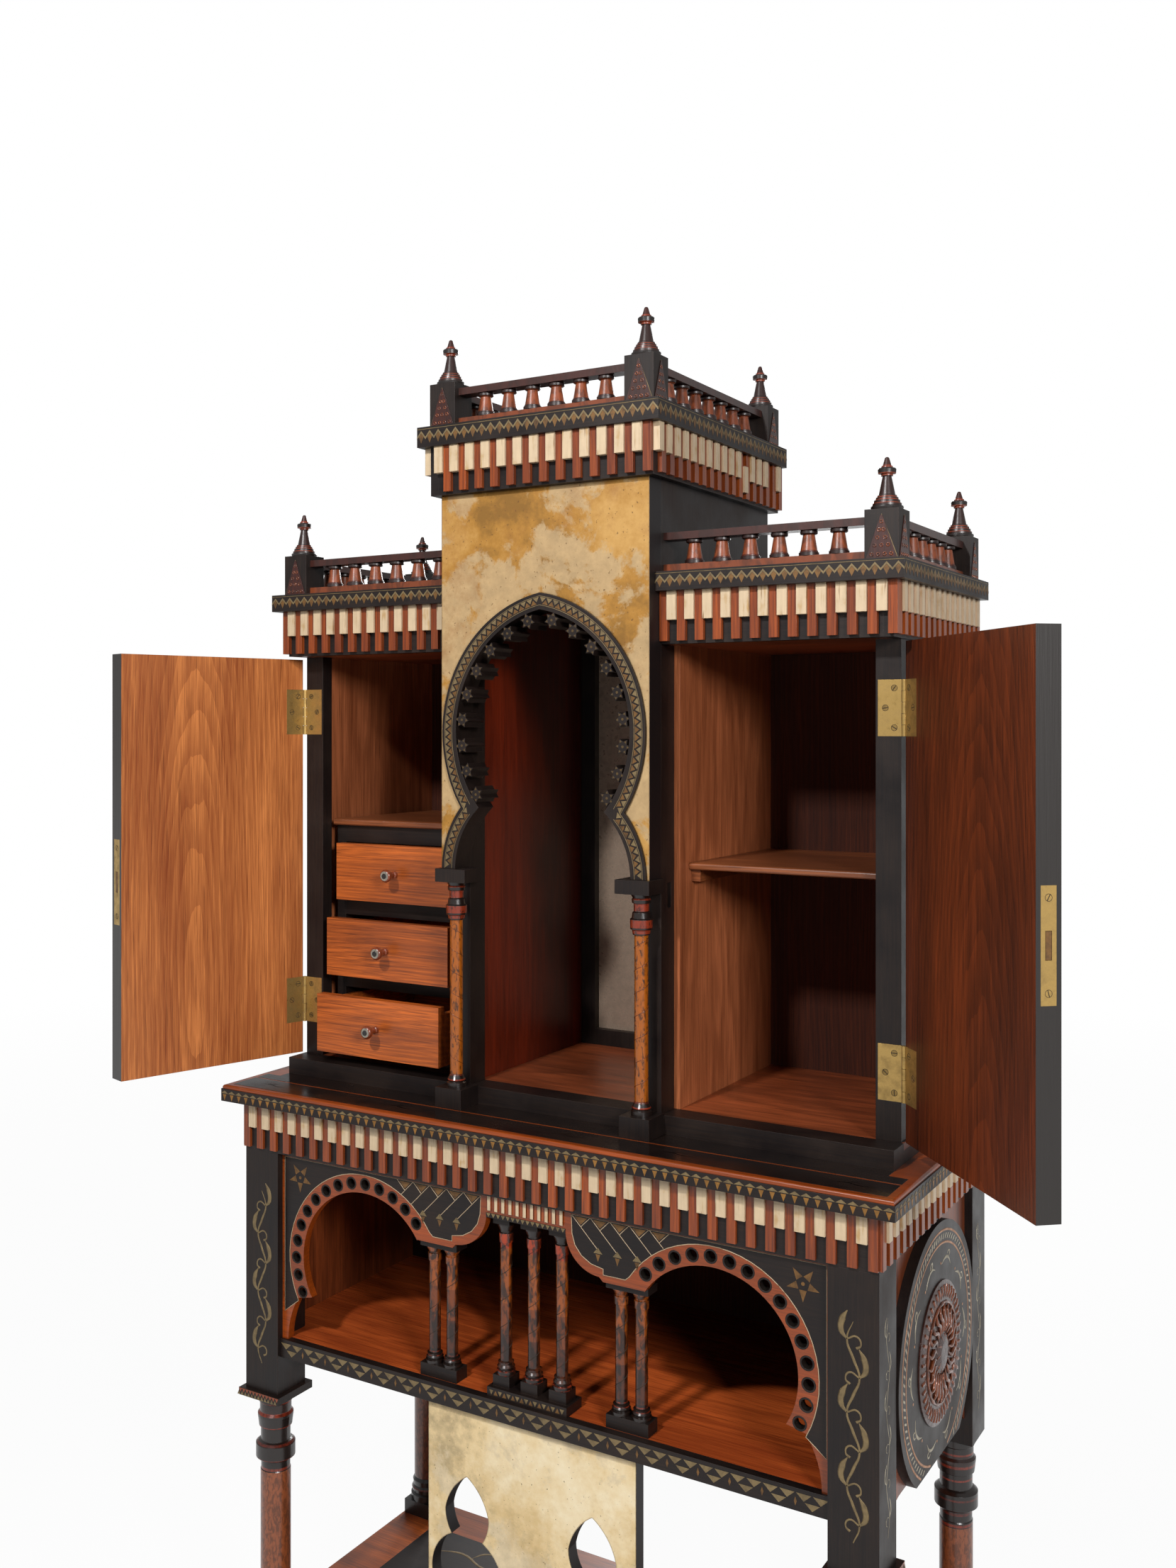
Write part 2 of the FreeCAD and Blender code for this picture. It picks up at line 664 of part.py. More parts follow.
def make_carcass():
    """Plinth, boards, sides, stiles, linings and backs of the upper body."""
    x1 = plinth_half_width
    step = plinth_top - floor_board
    plinth = box(-x1, x1, plinth_front, cabinet_back, table_height, plinth_top)
    plinth = plinth.cut(box(-x1 - overrun, x1 + overrun, stile_front, cabinet_back + overrun, step,
                            plinth_top + overrun))
    save("plinth", [plinth])

    wall_inner = tower_half_width - tower_wall
    stile_inner = tower_half_width - niche_stile
    niche_front = tower_front + tower_front_thickness
    cabinet_floor = box(tower_half_width, x1, stile_front, cabinet_back, step, plinth_top)
    niche_floor = box(-tower_half_width, tower_half_width, stile_front, cabinet_back, step, plinth_top)

    wall = box(wall_inner, tower_half_width, niche_front, cabinet_back, plinth_top, tower_frieze_bottom)
    post = box(stile_inner, wall_inner, niche_front, stile_front, plinth_top, tower_frieze_bottom)
    wall = wall.fuse(post).removeSplitter()
    lock_middle = table_height + lock_height
    bolt_y = pin_y - door_gap / 2 - door_thickness / 2
    mortise = box(tower_half_width - mortise_depth, tower_half_width + overrun,
                  bolt_y - bolt_thickness / 2 - mortise_play, bolt_y + bolt_thickness / 2 + mortise_play,
                  lock_middle - bolt_height / 2 - mortise_play,
                  lock_middle + bolt_height / 2 + mortise_play)
    save("tower_walls", both([wall.cut(mortise)]))

    outer_side = box(carcass_half_width - side_board, carcass_half_width, stile_front + stile_thickness,
                     cabinet_back, plinth_top, frieze_bottom)
    stile = box(carcass_half_width - stile_width, carcass_half_width, stile_front,
                stile_front + stile_thickness, plinth_top, frieze_bottom)
    for height in (lower_hinge_height, upper_hinge_height):
        stile = stile.cut(leaf_blank(height, 1))
    save("cabinet_sides", both([outer_side, stile]))

    lining_back = cabinet_back - back_board
    linings = [box(tower_half_width, partition_face, stile_front, lining_back, plinth_top,
                   frieze_bottom),
               box(lining_face, lining_face + lining, stile_front + stile_thickness, lining_back,
                   plinth_top, frieze_bottom)]
    niche_face = wall_inner - niche_lining
    frame_front = lining_back - mirror_thickness - niche_frame_thickness
    niche_top = tower_frieze_bottom - niche_ceiling_drop
    linings.append(box(niche_face, wall_inner, stile_front, frame_front, plinth_top, niche_top))
    save("wall_linings", both(linings))

    cabinet_top = box(tower_half_width, plinth_half_width - frieze_wall, plinth_front + frieze_wall,
                      cabinet_back - frieze_wall, frieze_bottom, frieze_bottom + carcass_board)
    niche_ceiling = box(-wall_inner, wall_inner, niche_front, lining_back, niche_top,
                        niche_top + carcass_board)
    notch = box(stile_inner, wall_inner, niche_front - overrun, stile_front, niche_top - overrun,
                niche_top + carcass_board + overrun)
    niche_ceiling = niche_ceiling.cut(both([notch]))
    save("carcass_boards", both([cabinet_floor, cabinet_top]) + [niche_floor, niche_ceiling])

    back_boards.extend(both([box(tower_half_width, carcass_half_width - side_board, lining_back,
                                 cabinet_back, plinth_top, frieze_bottom)]))
    back_boards.append(box(-wall_inner, wall_inner, lining_back, cabinet_back, plinth_top,
                           tower_frieze_bottom))
    save("back_boards", back_boards)

    width = niche_frame_width
    frame_back = frame_front + niche_frame_thickness
    frame = box(-niche_face, niche_face, frame_front, frame_back, plinth_top, niche_top)
    sight = box(-niche_face + width, niche_face - width, frame_front - overrun, frame_back + overrun,
                plinth_top + width, niche_top - width)
    save("niche_frame", [frame.cut(sight)])
    save("mirror_plate", [box(-niche_face, niche_face, frame_back, frame_back + mirror_thickness,
                              plinth_top, niche_top)])


def make_tower_front():
    """Vellum front with its horseshoe arch, star prisms, imposts, columns and blocks."""
    level = table_height + horseshoe_height
    impost = table_height + impost_top
    cusp_level = level - horseshoe_cusp_drop

    def arch_path(inset):
        """The horseshoe with its two legs, drawn in by an inset, from the foot of the right leg."""
        radius, leg_arc = horseshoe_radius - inset, leg_arc_radius - inset
        apex = level + sqrt(radius ** 2 - horseshoe_centre ** 2)
        cusp_x = sqrt(radius ** 2 - horseshoe_cusp_drop ** 2) - horseshoe_centre
        join_x = leg_arc_centre + sqrt(leg_arc ** 2 - (cusp_level - impost) ** 2)
        meet_x = (cusp_x + join_x) / 2
        foot_x = leg_arc_centre + leg_arc
        mid_x, mid_z = on_circle(-horseshoe_centre, level, radius, arch_middle_angle)
        swing_x, swing_z = on_circle(leg_arc_centre, impost, leg_arc, leg_middle_angle)
        steps = [(swing_x, swing_z, meet_x, cusp_level), (mid_x, mid_z, 0, apex),
                 (-mid_x, mid_z, -meet_x, cusp_level), (-swing_x, swing_z, -foot_x, impost),
                 (foot_x, impost)]
        return (foot_x, impost), steps

    start, steps = arch_path(0)
    front = tower_front - horseshoe_proud
    depth = tower_front_thickness + horseshoe_proud
    outer = plate(start, steps, front, depth)
    through = plate(start, steps, tower_front - overrun, tower_front_thickness + 2 * overrun)
    start, steps = arch_path(horseshoe_frame)
    arch = outer.cut(plate(start, steps, front - overrun, depth + 2 * overrun))
    save("arch_frame", [arch])
    board = box(-tower_half_width, tower_half_width, tower_front, tower_front + tower_front_thickness,
                impost, tower_frieze_bottom)
    save("vellum_front", [board.cut(through)])

    stars = []
    for angle in spread(star_first_angle, star_last_angle, star_count):
        x, z = on_circle(-horseshoe_centre, level, star_circle, angle)
        corners = []
        for i in range(2 * star_points):
            radius = star_radius if i % 2 == 0 else star_radius * star_waist_share
            px, pz = on_circle(x, z, radius, angle + 180 * i / star_points)
            corners.append(Vector(px, front, pz))
        face = Part.Face(Part.makePolygon(corners + corners[:1]))
        stars.append(face.extrude(Vector(0, star_depth, 0)).cut(arch))
    save("star_prisms", both(stars))

    block_front = tower_front - tower_block / 2 + tower_column_setback
    half = tower_block / 2
    x = tower_column_offset
    block_top = table_height + tower_block_height
    save("column_blocks", both([box(x - half, x + half, block_front, plinth_front, table_height,
                                    block_top)]))
    impost_bottom = impost - impost_height
    outer_x = tower_half_width + 2 * horseshoe_proud
    save("impost_blocks", both([box(outer_x - impost_width, tower_half_width + horseshoe_proud,
                                    block_front, tower_front + tower_front_thickness,
                                    impost_bottom, impost)]))
    save("tower_columns", both([turned(x, block_front + half, block_top, impost_bottom - block_top,
                                       tower_column_radius, tower_column_shares)]))


def make_galleries():
    """Cornice boards, corner posts with finials, rails and balusters."""
    cabinet_frieze_top = frieze_bottom + cabinet_frieze_height
    cabinet_top = cabinet_frieze_top + cabinet_cornice_height
    over = cabinet_cornice_overhang
    x1 = plinth_half_width + over
    y0 = plinth_front - over
    cabinet_board = box(tower_half_width, x1, y0, cabinet_back, cabinet_frieze_top, cabinet_top)
    tower_frieze_top = tower_frieze_bottom + tower_frieze_height
    tower_cornice_top = tower_frieze_top + tower_cornice_height
    tower_x = tower_half_width + tower_frieze_proud + tower_cornice_overhang
    tower_y = tower_front - tower_frieze_proud - tower_cornice_overhang
    tower_board = box(-tower_x, tower_x, tower_y, tower_back, tower_frieze_top, tower_cornice_top)
    save("cornice_boards", both([cabinet_board]) + [tower_board])

    posts, finials, balusters, rails = [], [], [], []
    half = gallery_post / 2
    half_rail = rail_width / 2

    def corner_post(x, y, base):
        posts.append(box(x - half, x + half, y - half, y + half, base, base + gallery_post_height))
        finials.append(turned(x, y, base + gallery_post_height, finial_height, finial_radius,
                              finial_shares))

    def rail_run(a, b, base, count):
        """Rails and balusters between two places that share X or Y."""
        x0, x1 = sorted((a[0], b[0]))
        y0, y1 = sorted((a[1], b[1]))
        if x0 == x1:
            x0, x1 = x0 - half_rail, x1 + half_rail
        else:
            y0, y1 = y0 - half_rail, y1 + half_rail
        rail_top = base + lower_rail_height + baluster_height
        rails.append(box(x0, x1, y0, y1, base, base + lower_rail_height))
        rails.append(box(x0, x1, y0, y1, rail_top, rail_top + upper_rail_height))
        for i in range(count):
            share = (i + 1) / (count + 1)
            x, y = a[0] + (b[0] - a[0]) * share, a[1] + (b[1] - a[1]) * share
            balusters.append(turned(x, y, base + lower_rail_height, baluster_height, baluster_radius,
                                    baluster_shares))

    cx = x1 - gallery_side_inset - half
    front_y = y0 + gallery_front_inset + half
    rear_y = cabinet_back - gallery_back_inset - half
    for side in (-1, 1):
        corner_post(side * cx, front_y, cabinet_top)
        corner_post(side * cx, rear_y, cabinet_top)
        rail_run((side * tower_half_width, front_y), (side * (cx - half), front_y), cabinet_top,
                 front_balusters)
        rail_run((side * cx, front_y + half), (side * cx, rear_y - half), cabinet_top,
                 cabinet_side_balusters)
    cx = tower_x - tower_gallery_inset - half
    front_y = tower_y + tower_gallery_inset + half
    rear_y = tower_back - half
    for side in (-1, 1):
        corner_post(side * cx, front_y, tower_cornice_top)
        corner_post(side * cx, rear_y, tower_cornice_top)
        rail_run((side * cx, front_y + half), (side * cx, rear_y - half), tower_cornice_top,
                 tower_side_balusters)
    rail_run((-cx + half, front_y), (cx - half, front_y), tower_cornice_top, front_balusters)
    save("gallery_posts", posts)
    save("finials", finials)
    save("balusters", balusters)
    save("gallery_rails", rails)


def leaf_blank(height, side):
    """The block that a hinge leaf fills on the right, in the stile (1) or in the closed door (-1)."""
    z = table_height + height
    x0 = carcass_half_width - hinge_leaf
    face = pin_y + side * door_gap / 2
    y0, y1 = sorted((face, face + side * hinge_leaf_thickness))
    return box(x0, carcass_half_width, y0, y1, z - hinge_height / 2, z + hinge_height / 2)


def hinge_leaf_solid(height, side):
    """A leaf with its knuckles: three on the stile, two on the door."""
    z0 = table_height + height - hinge_height / 2
    leaf = leaf_blank(height, side)
    knuckle = (hinge_height - 4 * knuckle_gap) / 5
    bore = pin_radius if side > 0 else pin_radius + pin_play
    barrels = []
    for i in range(5):
        if (i % 2 == 0) != (side > 0):
            continue
        z = z0 + i * (knuckle + knuckle_gap)
        face = pin_y + side * door_gap / 2
        y0, y1 = sorted((face, face + side * hinge_leaf_thickness))
        barrel = Part.makeCylinder(knuckle_radius, knuckle, Vector(pin_x, pin_y, z), up)
        tongue = box(carcass_half_width - overrun, pin_x, y0, y1, z, z + knuckle)
        barrels.append(barrel.fuse(tongue))
    leaf = leaf.fuse(barrels).removeSplitter()
    hole = Part.makeCylinder(bore, hinge_height + 2 * overrun, Vector(pin_x, pin_y, z0 - overrun), up)
    return leaf.cut(hole)


def screw_places(height):
    """Height and place along the leaf of the three screws of a leaf."""
    z = table_height + height
    near = carcass_half_width - hinge_leaf * near_screw_share
    far = carcass_half_width - hinge_leaf * far_screw_share
    reach = hinge_height * screw_spread_share
    return [(near, z + reach), (far, z), (near, z - reach)]


def screw_head(x, z, side):
    """A countersunk head in the face of a leaf on the stile (1) or on the door (-1)."""
    face = pin_y + side * door_gap / 2
    return Part.makeCone(screw_head_radius, screw_head_radius * screw_point_share, screw_sink,
                         Vector(x, face, z), Vector(0, side, 0))


def make_hinges():
    """Leaves on the stiles, with their pins and screws."""
    leaves, screws, pins = [], [], []
    for height in (lower_hinge_height, upper_hinge_height):
        leaf = hinge_leaf_solid(height, 1)
        for x, z in screw_places(height):
            screws.append(screw_head(x, z, 1))
            leaf = leaf.cut(screws[-1])
        leaves.append(leaf)
        foot = Vector(pin_x, pin_y, table_height + height - hinge_height / 2)
        pins.append(Part.makeCylinder(pin_radius, hinge_height, foot, up))
    save("stile_hinge_leaves", both(leaves))
    save("stile_screws", both(screws))
    save("hinge_pins", both(pins))


def make_door(name, side, angle):
    """One door with its leaves, lock plate and bolt, swung open about the pin."""
    face = pin_y - door_gap / 2
    x0 = carcass_half_width - door_width
    panel = box(x0, carcass_half_width, face - door_thickness, face, door_bottom, door_bottom + door_height)
    leaves, screws = [], []
    for height in (lower_hinge_height, upper_hinge_height):
        panel = panel.cut(leaf_blank(height, -1))
        leaf = hinge_leaf_solid(height, -1)
        for x, z in screw_places(height):
            screws.append(screw_head(x, z, -1))
            leaf = leaf.cut(screws[-1])
        leaves.append(leaf)
    middle_y = face - door_thickness / 2
    middle_z = table_height + lock_height
    plate_half = lock_plate_width / 2
    lock_plate = box(x0, x0 + lock_plate_thickness, middle_y - plate_half, middle_y + plate_half,
                     middle_z - lock_plate_height / 2, middle_z + lock_plate_height / 2)
    panel = panel.cut(lock_plate)
    half_bolt = bolt_thickness / 2
    slot = box(x0 - overrun, x0 + bolt_length + bolt_play, middle_y - half_bolt - bolt_play,
               middle_y + half_bolt + bolt_play, middle_z - bolt_height / 2 - bolt_play,
               middle_z + bolt_height / 2 + bolt_play)
    bolt = box(x0, x0 + bolt_length, middle_y - half_bolt, middle_y + half_bolt,
               middle_z - bolt_height / 2, middle_z + bolt_height / 2)
    pieces = {"door": [panel.cut(slot)], "door_hinge_leaves": leaves + screws,
              "lock_plate": [lock_plate.cut(slot)], "lock_bolt": [bolt]}
    for piece, solids in pieces.items():
        placed = []
        for solid in solids:
            solid = mirrored(solid) if side < 0 else solid.copy()
            solid.rotate(Vector(side * pin_x, pin_y, 0), up, side * angle)
            placed.append(solid)
        save(name + "_" + piece, placed)


def rounded_front(board, front, thickness):
    """A board with its two long front edges rounded."""
    edges = [e for e in board.Edges if e.CenterOfMass.y < front + shelf_play
             and abs(e.Vertexes[0].X - e.Vertexes[1].X) > thickness]
    return board.makeFillet(thickness * shelf_round_share, edges)


def make_shelves():
    """The shelf on its battens at the right, and the drawer nest with its shelf at the left."""
    back = cabinet_back - back_board
    shelf_bottom = table_height + right_shelf_height
    front = stile_front + right_shelf_setback
    shelf = box(partition_face + shelf_play, lining_face - shelf_play, front, back - shelf_play,
                shelf_bottom, shelf_bottom + shelf_thickness)
    shelf = rounded_front(shelf, front, shelf_thickness)
    batten_y = front + batten_setback
    battens = [box(partition_face, partition_face + batten_width, batten_y, back,
                   shelf_bottom - batten_height, shelf_bottom),
               box(lining_face - batten_width, lining_face, batten_y, back,
                   shelf_bottom - batten_height, shelf_bottom)]
    save("shelf_battens", battens)

    left = -nest_left
    right = left + 2 * nest_side + drawer_width + 2 * drawer_play
    front, back = nest_front, nest_front + nest_depth
    space = drawer_height + 2 * drawer_play
    levels = [plinth_top + nest_floor + i * drawer_pitch for i in range(3)]
    nest_top = levels[-1] + space + nest_rail
    nest = [box(left, left + nest_side, front, back, plinth_top, nest_top),
            box(right - nest_side, right, front, back, plinth_top, nest_top)]
    rails = list(zip([plinth_top] + [z + space for z in levels], levels + [nest_top]))
    for z0, z1 in rails:
        nest.append(box(left + nest_side, right - nest_side, front, back - nest_back, z0, z1))
    nest.append(box(left + nest_side, right - nest_side, back - nest_back, back, plinth_top, nest_top))
    save("drawer_nest", nest)
    shelf_front = nest_front - nest_shelf_overhang
    nest_shelf = box(left, right, shelf_front, back, nest_top, nest_top + nest_shelf_thickness)
    save("shelves", [shelf, rounded_front(nest_shelf, shelf_front, nest_shelf_thickness)])


def make_drawer(name, row):
    """One dovetailed drawer with its knob, pulled out as far as it stands at rest."""
    x0 = -nest_left + nest_side + drawer_play
    x1 = x0 + drawer_width
    y0 = nest_front - drawer_outs[name]
    z0 = plinth_top + nest_floor + row * drawer_pitch + drawer_play
    z1 = z0 + drawer_height
    y1 = y0 + drawer_depth
    side_front = y0 + drawer_front_thickness
    side_top = z1 - drawer_side_drop
    front = box(x0, x1, y0, side_front, z0, z1)
    sides = [box(x0, x0 + drawer_side, side_front, y1, z0, side_top),
             box(x1 - drawer_side, x1, side_front, y1, z0, side_top)]
    rear = box(x0 + drawer_side, x1 - drawer_side, y1 - drawer_side, y1, z0 + drawer_bottom, side_top)
    floor = box(x0 + drawer_side, x1 - drawer_side, side_front, y1, z0, z0 + drawer_bottom)
    save("drawer_" + name, [front] + sides + [rear, floor])
    knob = turned(0, 0, 0, knob_length, knob_radius, knob_shares)
    knob.rotate(Vector(), Vector(1, 0, 0), 90)
    save("drawer_" + name + "_knob", [knob.translated(Vector((x0 + x1) / 2, y0, (z0 + z1) / 2))])


make_stand()
make_case()
make_arcade()
make_table()
make_friezes()
make_carcass()
make_tower_front()
make_galleries()
make_hinges()
make_door("right", 1, right_door_angle)
make_door("left", -1, left_door_angle)
make_shelves()
for row, name in enumerate(("bottom", "middle", "top")):
    make_drawer(name, row)
print(len(node_files), "pieces written")
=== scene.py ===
import math
from functools import partial
import bpy
from bpy.props import FloatProperty, FloatVectorProperty, PointerProperty
from mathutils import Matrix, Vector


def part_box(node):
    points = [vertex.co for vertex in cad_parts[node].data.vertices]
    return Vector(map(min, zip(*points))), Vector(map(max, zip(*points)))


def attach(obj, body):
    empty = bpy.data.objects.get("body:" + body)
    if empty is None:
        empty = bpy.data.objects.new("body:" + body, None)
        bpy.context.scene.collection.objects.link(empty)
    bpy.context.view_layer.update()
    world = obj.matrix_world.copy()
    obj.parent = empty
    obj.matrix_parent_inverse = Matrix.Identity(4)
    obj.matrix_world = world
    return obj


bl_info = {
    "name": "Inlaid Cabinet on a Stand",
    "version": (1, 0, 0),
    "blender": (4, 5, 0),
    "location": "View3D > Sidebar > Cabinet",
    "description": "Finishes, inlay and a plain stage for a cabinet on a stand",
    "category": "Object",
}

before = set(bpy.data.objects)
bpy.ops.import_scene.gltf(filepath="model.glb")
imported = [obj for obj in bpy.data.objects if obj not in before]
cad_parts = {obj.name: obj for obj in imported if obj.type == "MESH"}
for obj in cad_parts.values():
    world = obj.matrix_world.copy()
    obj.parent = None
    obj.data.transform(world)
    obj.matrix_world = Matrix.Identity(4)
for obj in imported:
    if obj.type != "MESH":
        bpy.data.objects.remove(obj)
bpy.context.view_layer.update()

mm = 0.001
crests = 0.314                                           # metres between a wave texture's crests at scale 1
opened = {"left_door": 107.0, "right_door": 132.0}       # how far the doors stand open at rest, in degrees
arch_x, arch_z = 248.5, 666.0                            # middle of the case's right arch, in millimetres


def linear(colour):
    """An sRGB hex colour as linear red, green, blue and alpha. One that is linear comes back as it is."""
    if not isinstance(colour, str):
        return tuple(colour)
    parts = [int(colour[i:i + 2], 16) / 255 for i in (1, 3, 5)]
    return tuple(c / 12.92 if c <= 0.04045 else ((c + 0.055) / 1.055) ** 2.4 for c in parts) + (1.0,)


def colour_property(name, code, words):
    """A colour that a user may change."""
    return FloatVectorProperty(name=name, description=words, subtype="COLOR", size=4, min=0, max=1,
                               default=linear(code))


class CabinetColours(bpy.types.PropertyGroup):
    """Colours of the cabinet's finishes."""
    ebony: colour_property("Ebonised wood", "#161010", "Black stain on pearwood, as polished")
    ebony_worn: colour_property("Worn ebonised wood", "#30231c", "Where the black stain has rubbed")
    walnut_dark: colour_property("Walnut, dark", "#642c10", "Late wood and pores of the walnut")
    walnut_light: colour_property("Walnut, light", "#c96626", "Early wood of the walnut")
    mahogany_dark: colour_property("Mahogany, dark", "#3f190c", "Dark fibres of the mahogany")
    mahogany_light: colour_property("Mahogany, light", "#84401e", "Light fibres of the mahogany")
    fruitwood: colour_property("Fruitwood", "#9c4410", "Orange polished fruitwood of bands and mouldings")
    bone: colour_property("Bone", "#cdb594", "Bone of the dentils and fret")
    vellum: colour_property("Vellum", "#bd9252", "Clean varnished vellum")
    amber: colour_property("Amber lacquer", "#9c5210", "Lacquered shafts of the columns")
    brass: colour_property("Brass", "#b9985a", "Worn brass of hinges and locks")
    pewter: colour_property("Pewter", "#7d6a48", "Pewter stringing and inlay")
    copper: colour_property("Copper", "#75532b", "Copper inlay and bosses")


class CabinetSizes(bpy.types.PropertyGroup):
    """Sizes of the cabinet's inlay."""
    inlay_proud: FloatProperty(name="Inlay thickness", description="How far the inlay stands above its ground",
                               default=0.2 * mm, unit="LENGTH")
    string_width: FloatProperty(name="String width", description="Width of the fine pale lines",
                                default=1.1 * mm, unit="LENGTH")
    cornice_pitch: FloatProperty(name="Cornice pitch", description="Spacing of the chevrons on the cornices",
                                 default=13.2 * mm, unit="LENGTH")
    table_pitch: FloatProperty(name="Table edge pitch", default=12.9 * mm, unit="LENGTH",
                               description="Spacing of the triangles on the table's edge")


def feed(node, inputs):
    """Fills a node's inputs with fixed values, or links them to a socket or to a node's first result."""
    for name, value in inputs.items():
        if isinstance(value, bpy.types.Node):
            value = next(output for output in value.outputs if output.enabled)
        if isinstance(value, bpy.types.NodeSocket):
            node.id_data.links.new(value, node.inputs[name])
        else:
            node.inputs[name].default_value = value


def add_node(tree, kind, inputs=None, ramp=None, **settings):
    """Adds a shader node with its settings, fills or links its inputs, and gives it back."""
    node = tree.nodes.new("ShaderNode" + kind)
    for key, value in settings.items():
        setattr(node, key, value)
    if ramp:
        elements = node.color_ramp.elements
        for element, (place, colour) in zip(elements, (ramp[0], ramp[-1])):
            element.position = place
            element.color = colour
        for place, colour in ramp[1:-1]:
            elements.new(place).color = colour
    feed(node, inputs or {})
    return node


def new_finish(name, **sockets):
    """A new material, its shader with steady values on its own sockets, and what adds nodes to it."""
    material = bpy.data.materials.new(name)
    material.use_nodes = True
    shader = material.node_tree.nodes["Principled BSDF"]
    feed(shader, {socket.replace("_", " "): value for socket, value in sockets.items()})
    return material, shader, partial(add_node, material.node_tree)


def grey(level):
    """A plain grey."""
    return (level, level, level, 1.0)


def shade(colour, factor):
    """A colour made darker or lighter by a factor."""
    return tuple(min(1.0, c * factor) for c in linear(colour)[:3]) + (1.0,)


def cut_surface(node, shader, height, depth, edge):
    """Softens sharp edges so that they catch the light, and cuts a height pattern into the surface."""
    rounded = node("Bevel", {"Radius": edge}, samples=4)
    feed(shader, {"Normal": node("Bump", {"Height": height, "Distance": depth, "Normal": rounded})})
    return rounded


def edge_mask(node, rounded, low, high):
    """One along sharp edges and nought on flat faces."""
    flat = node("NewGeometry").outputs["True Normal"]
    dot = node("VectorMath", {0: rounded, 1: flat}, operation="DOT_PRODUCT")
    return node("MapRange", {0: dot, 1: high, 2: low})


def timber(name, dark, light, grain="Z", figure=0.3, gloss=0.36, shift=0.0, face=None, heart=None, holes=None,
           stained=0.0, polish=0.2):
    """Planed and polished timber: long fibres, broad streaks, faint year rings and short dark pores, all drawn
    coarser than real ones, so that they show. With a face given, only what faces that way is clear wood, and
    the rest is stained black. With holes given, as a point in the right half and their distance from it, only
    they are stained. With a heart given, the rings make tall arches about it. The wood is darker and redder
    out to the stained distance from the cabinet's middle: partly its own colour and partly painted shade."""
    material, shader, node = new_finish(name, Coat_Weight=polish, Coat_Roughness=0.25, IOR=1.5,
                                        Specular_IOR_Level=0.25 + polish)
    dark, light = linear(dark), linear(light)
    coordinates = node("TexCoord").outputs
    place = coordinates["Object"]
    turned = (0, math.pi / 2 if grain == "X" else 0, 0)
    along = node("Mapping", {0: place, "Location": (shift,) * 3, "Rotation": turned})
    slow, streaky, long = (node("VectorMath", {0: along, 1: (1, 1, share)}, operation="MULTIPLY")
                           for share in (0.2, 0.05, 0.02))
    warp = node("TexNoise", {0: slow, "Scale": 1 / (170 * mm), "Detail": 3.0}).outputs[1]
    bent = node("VectorMath", {0: warp, 1: (0.08,) * 3, 2: streaky}, operation="MULTIPLY_ADD")
    if heart:
        about = node("VectorMath", {0: place, 1: heart}, operation="SUBTRACT")
        arched = node("VectorMath", {0: about, 1: (1, 1, 0.14)}, operation="MULTIPLY")
        arched = node("VectorMath", {0: warp, 1: (0.05,) * 3, 2: arched}, operation="MULTIPLY_ADD")
        rings = node("TexWave", {0: arched, "Scale": crests / (7 * mm), "Distortion": 1.5, "Detail Scale": 2.0},
                     wave_type="RINGS", rings_direction="SPHERICAL", wave_profile="SAW").outputs[1]
    else:
        rings = node("TexWave", {0: bent, "Scale": crests / (6 * mm), "Distortion": 2.0}).outputs[1]
    fibre = node("TexNoise", {0: long, "Scale": 1 / (1.5 * mm), "Detail": 3.0, "Roughness": 0.6})
    streak = node("TexNoise", {0: bent, "Scale": 1 / (11 * mm), "Detail": 7.0, "Roughness": 0.68})
    tone = node("TexNoise", {0: slow, "Scale": 1 / (90 * mm)})
    for part, weight in ((rings, 0.5 * figure), (streak, 0.9), (fibre, 0.8)):
        tone = node("Math", {0: part, 1: weight, 2: tone}, operation="MULTIPLY_ADD")
    middle = 1.35 + 0.25 * figure
    share = node("MapRange", {0: tone, 1: middle - 0.42, 2: middle + 0.38})
    between = shade([(a + b) / 2 for a, b in zip(dark, light)], 0.95)
    colour = node("ValToRGB", {0: share}, ramp=[(0.0, dark), (0.5, between), (0.85, light),
                                                (1.0, shade(light, 1.12))])
    pore = node("TexNoise", {0: long, "Scale": 1 / (1.2 * mm), "Detail": 1.0})
    pore = node("MapRange", {0: pore, 1: 0.6, 2: 0.68, 4: 0.5})
    colour = node("Mix", {0: pore, 6: colour, 7: shade(dark, 0.5)}, data_type="RGBA")
    if face:
        toward = node("VectorMath", {0: coordinates["Normal"], 1: face}, operation="DOT_PRODUCT")
        clear = node("Math", {0: toward, 1: 0.9}, operation="GREATER_THAN")
        if holes:
            half = node("VectorMath", {0: place}, operation="ABSOLUTE")
            away = node("VectorMath", {0: half, 1: holes[:3]}, operation="DISTANCE")
            near = node("Math", {0: away, 1: holes[3], 2: 7.4 * mm}, operation="COMPARE")
            clear = node("Math", {0: clear, 1: near}, operation="SUBTRACT")
            clear = node("Math", {0: clear, 1: -0.5}, operation="GREATER_THAN")
        colour = node("Mix", {0: clear, 6: linear("#1f1a17"), 7: colour}, data_type="RGBA")
    # Darker and redder near the middle, as in the niche: partly the wood's own colour, partly painted shade.
    if stained:
        across = node("Math", {0: node("SeparateXYZ", {0: place}).outputs["X"]}, operation="ABSOLUTE")
        inside = node("Math", {0: across, 1: stained}, operation="LESS_THAN")
        colour = node("Mix", {0: inside, 6: colour, 7: linear("#94553c")}, data_type="RGBA",
                      blend_type="MULTIPLY")
    feed(shader, {"Base Color": colour,
                  "Roughness": node("MapRange", {0: fibre, 3: gloss - 0.06, 4: gloss + 0.12})})
    cut_surface(node, shader, fibre, 0.1 * mm, 0.5 * mm)
    return material


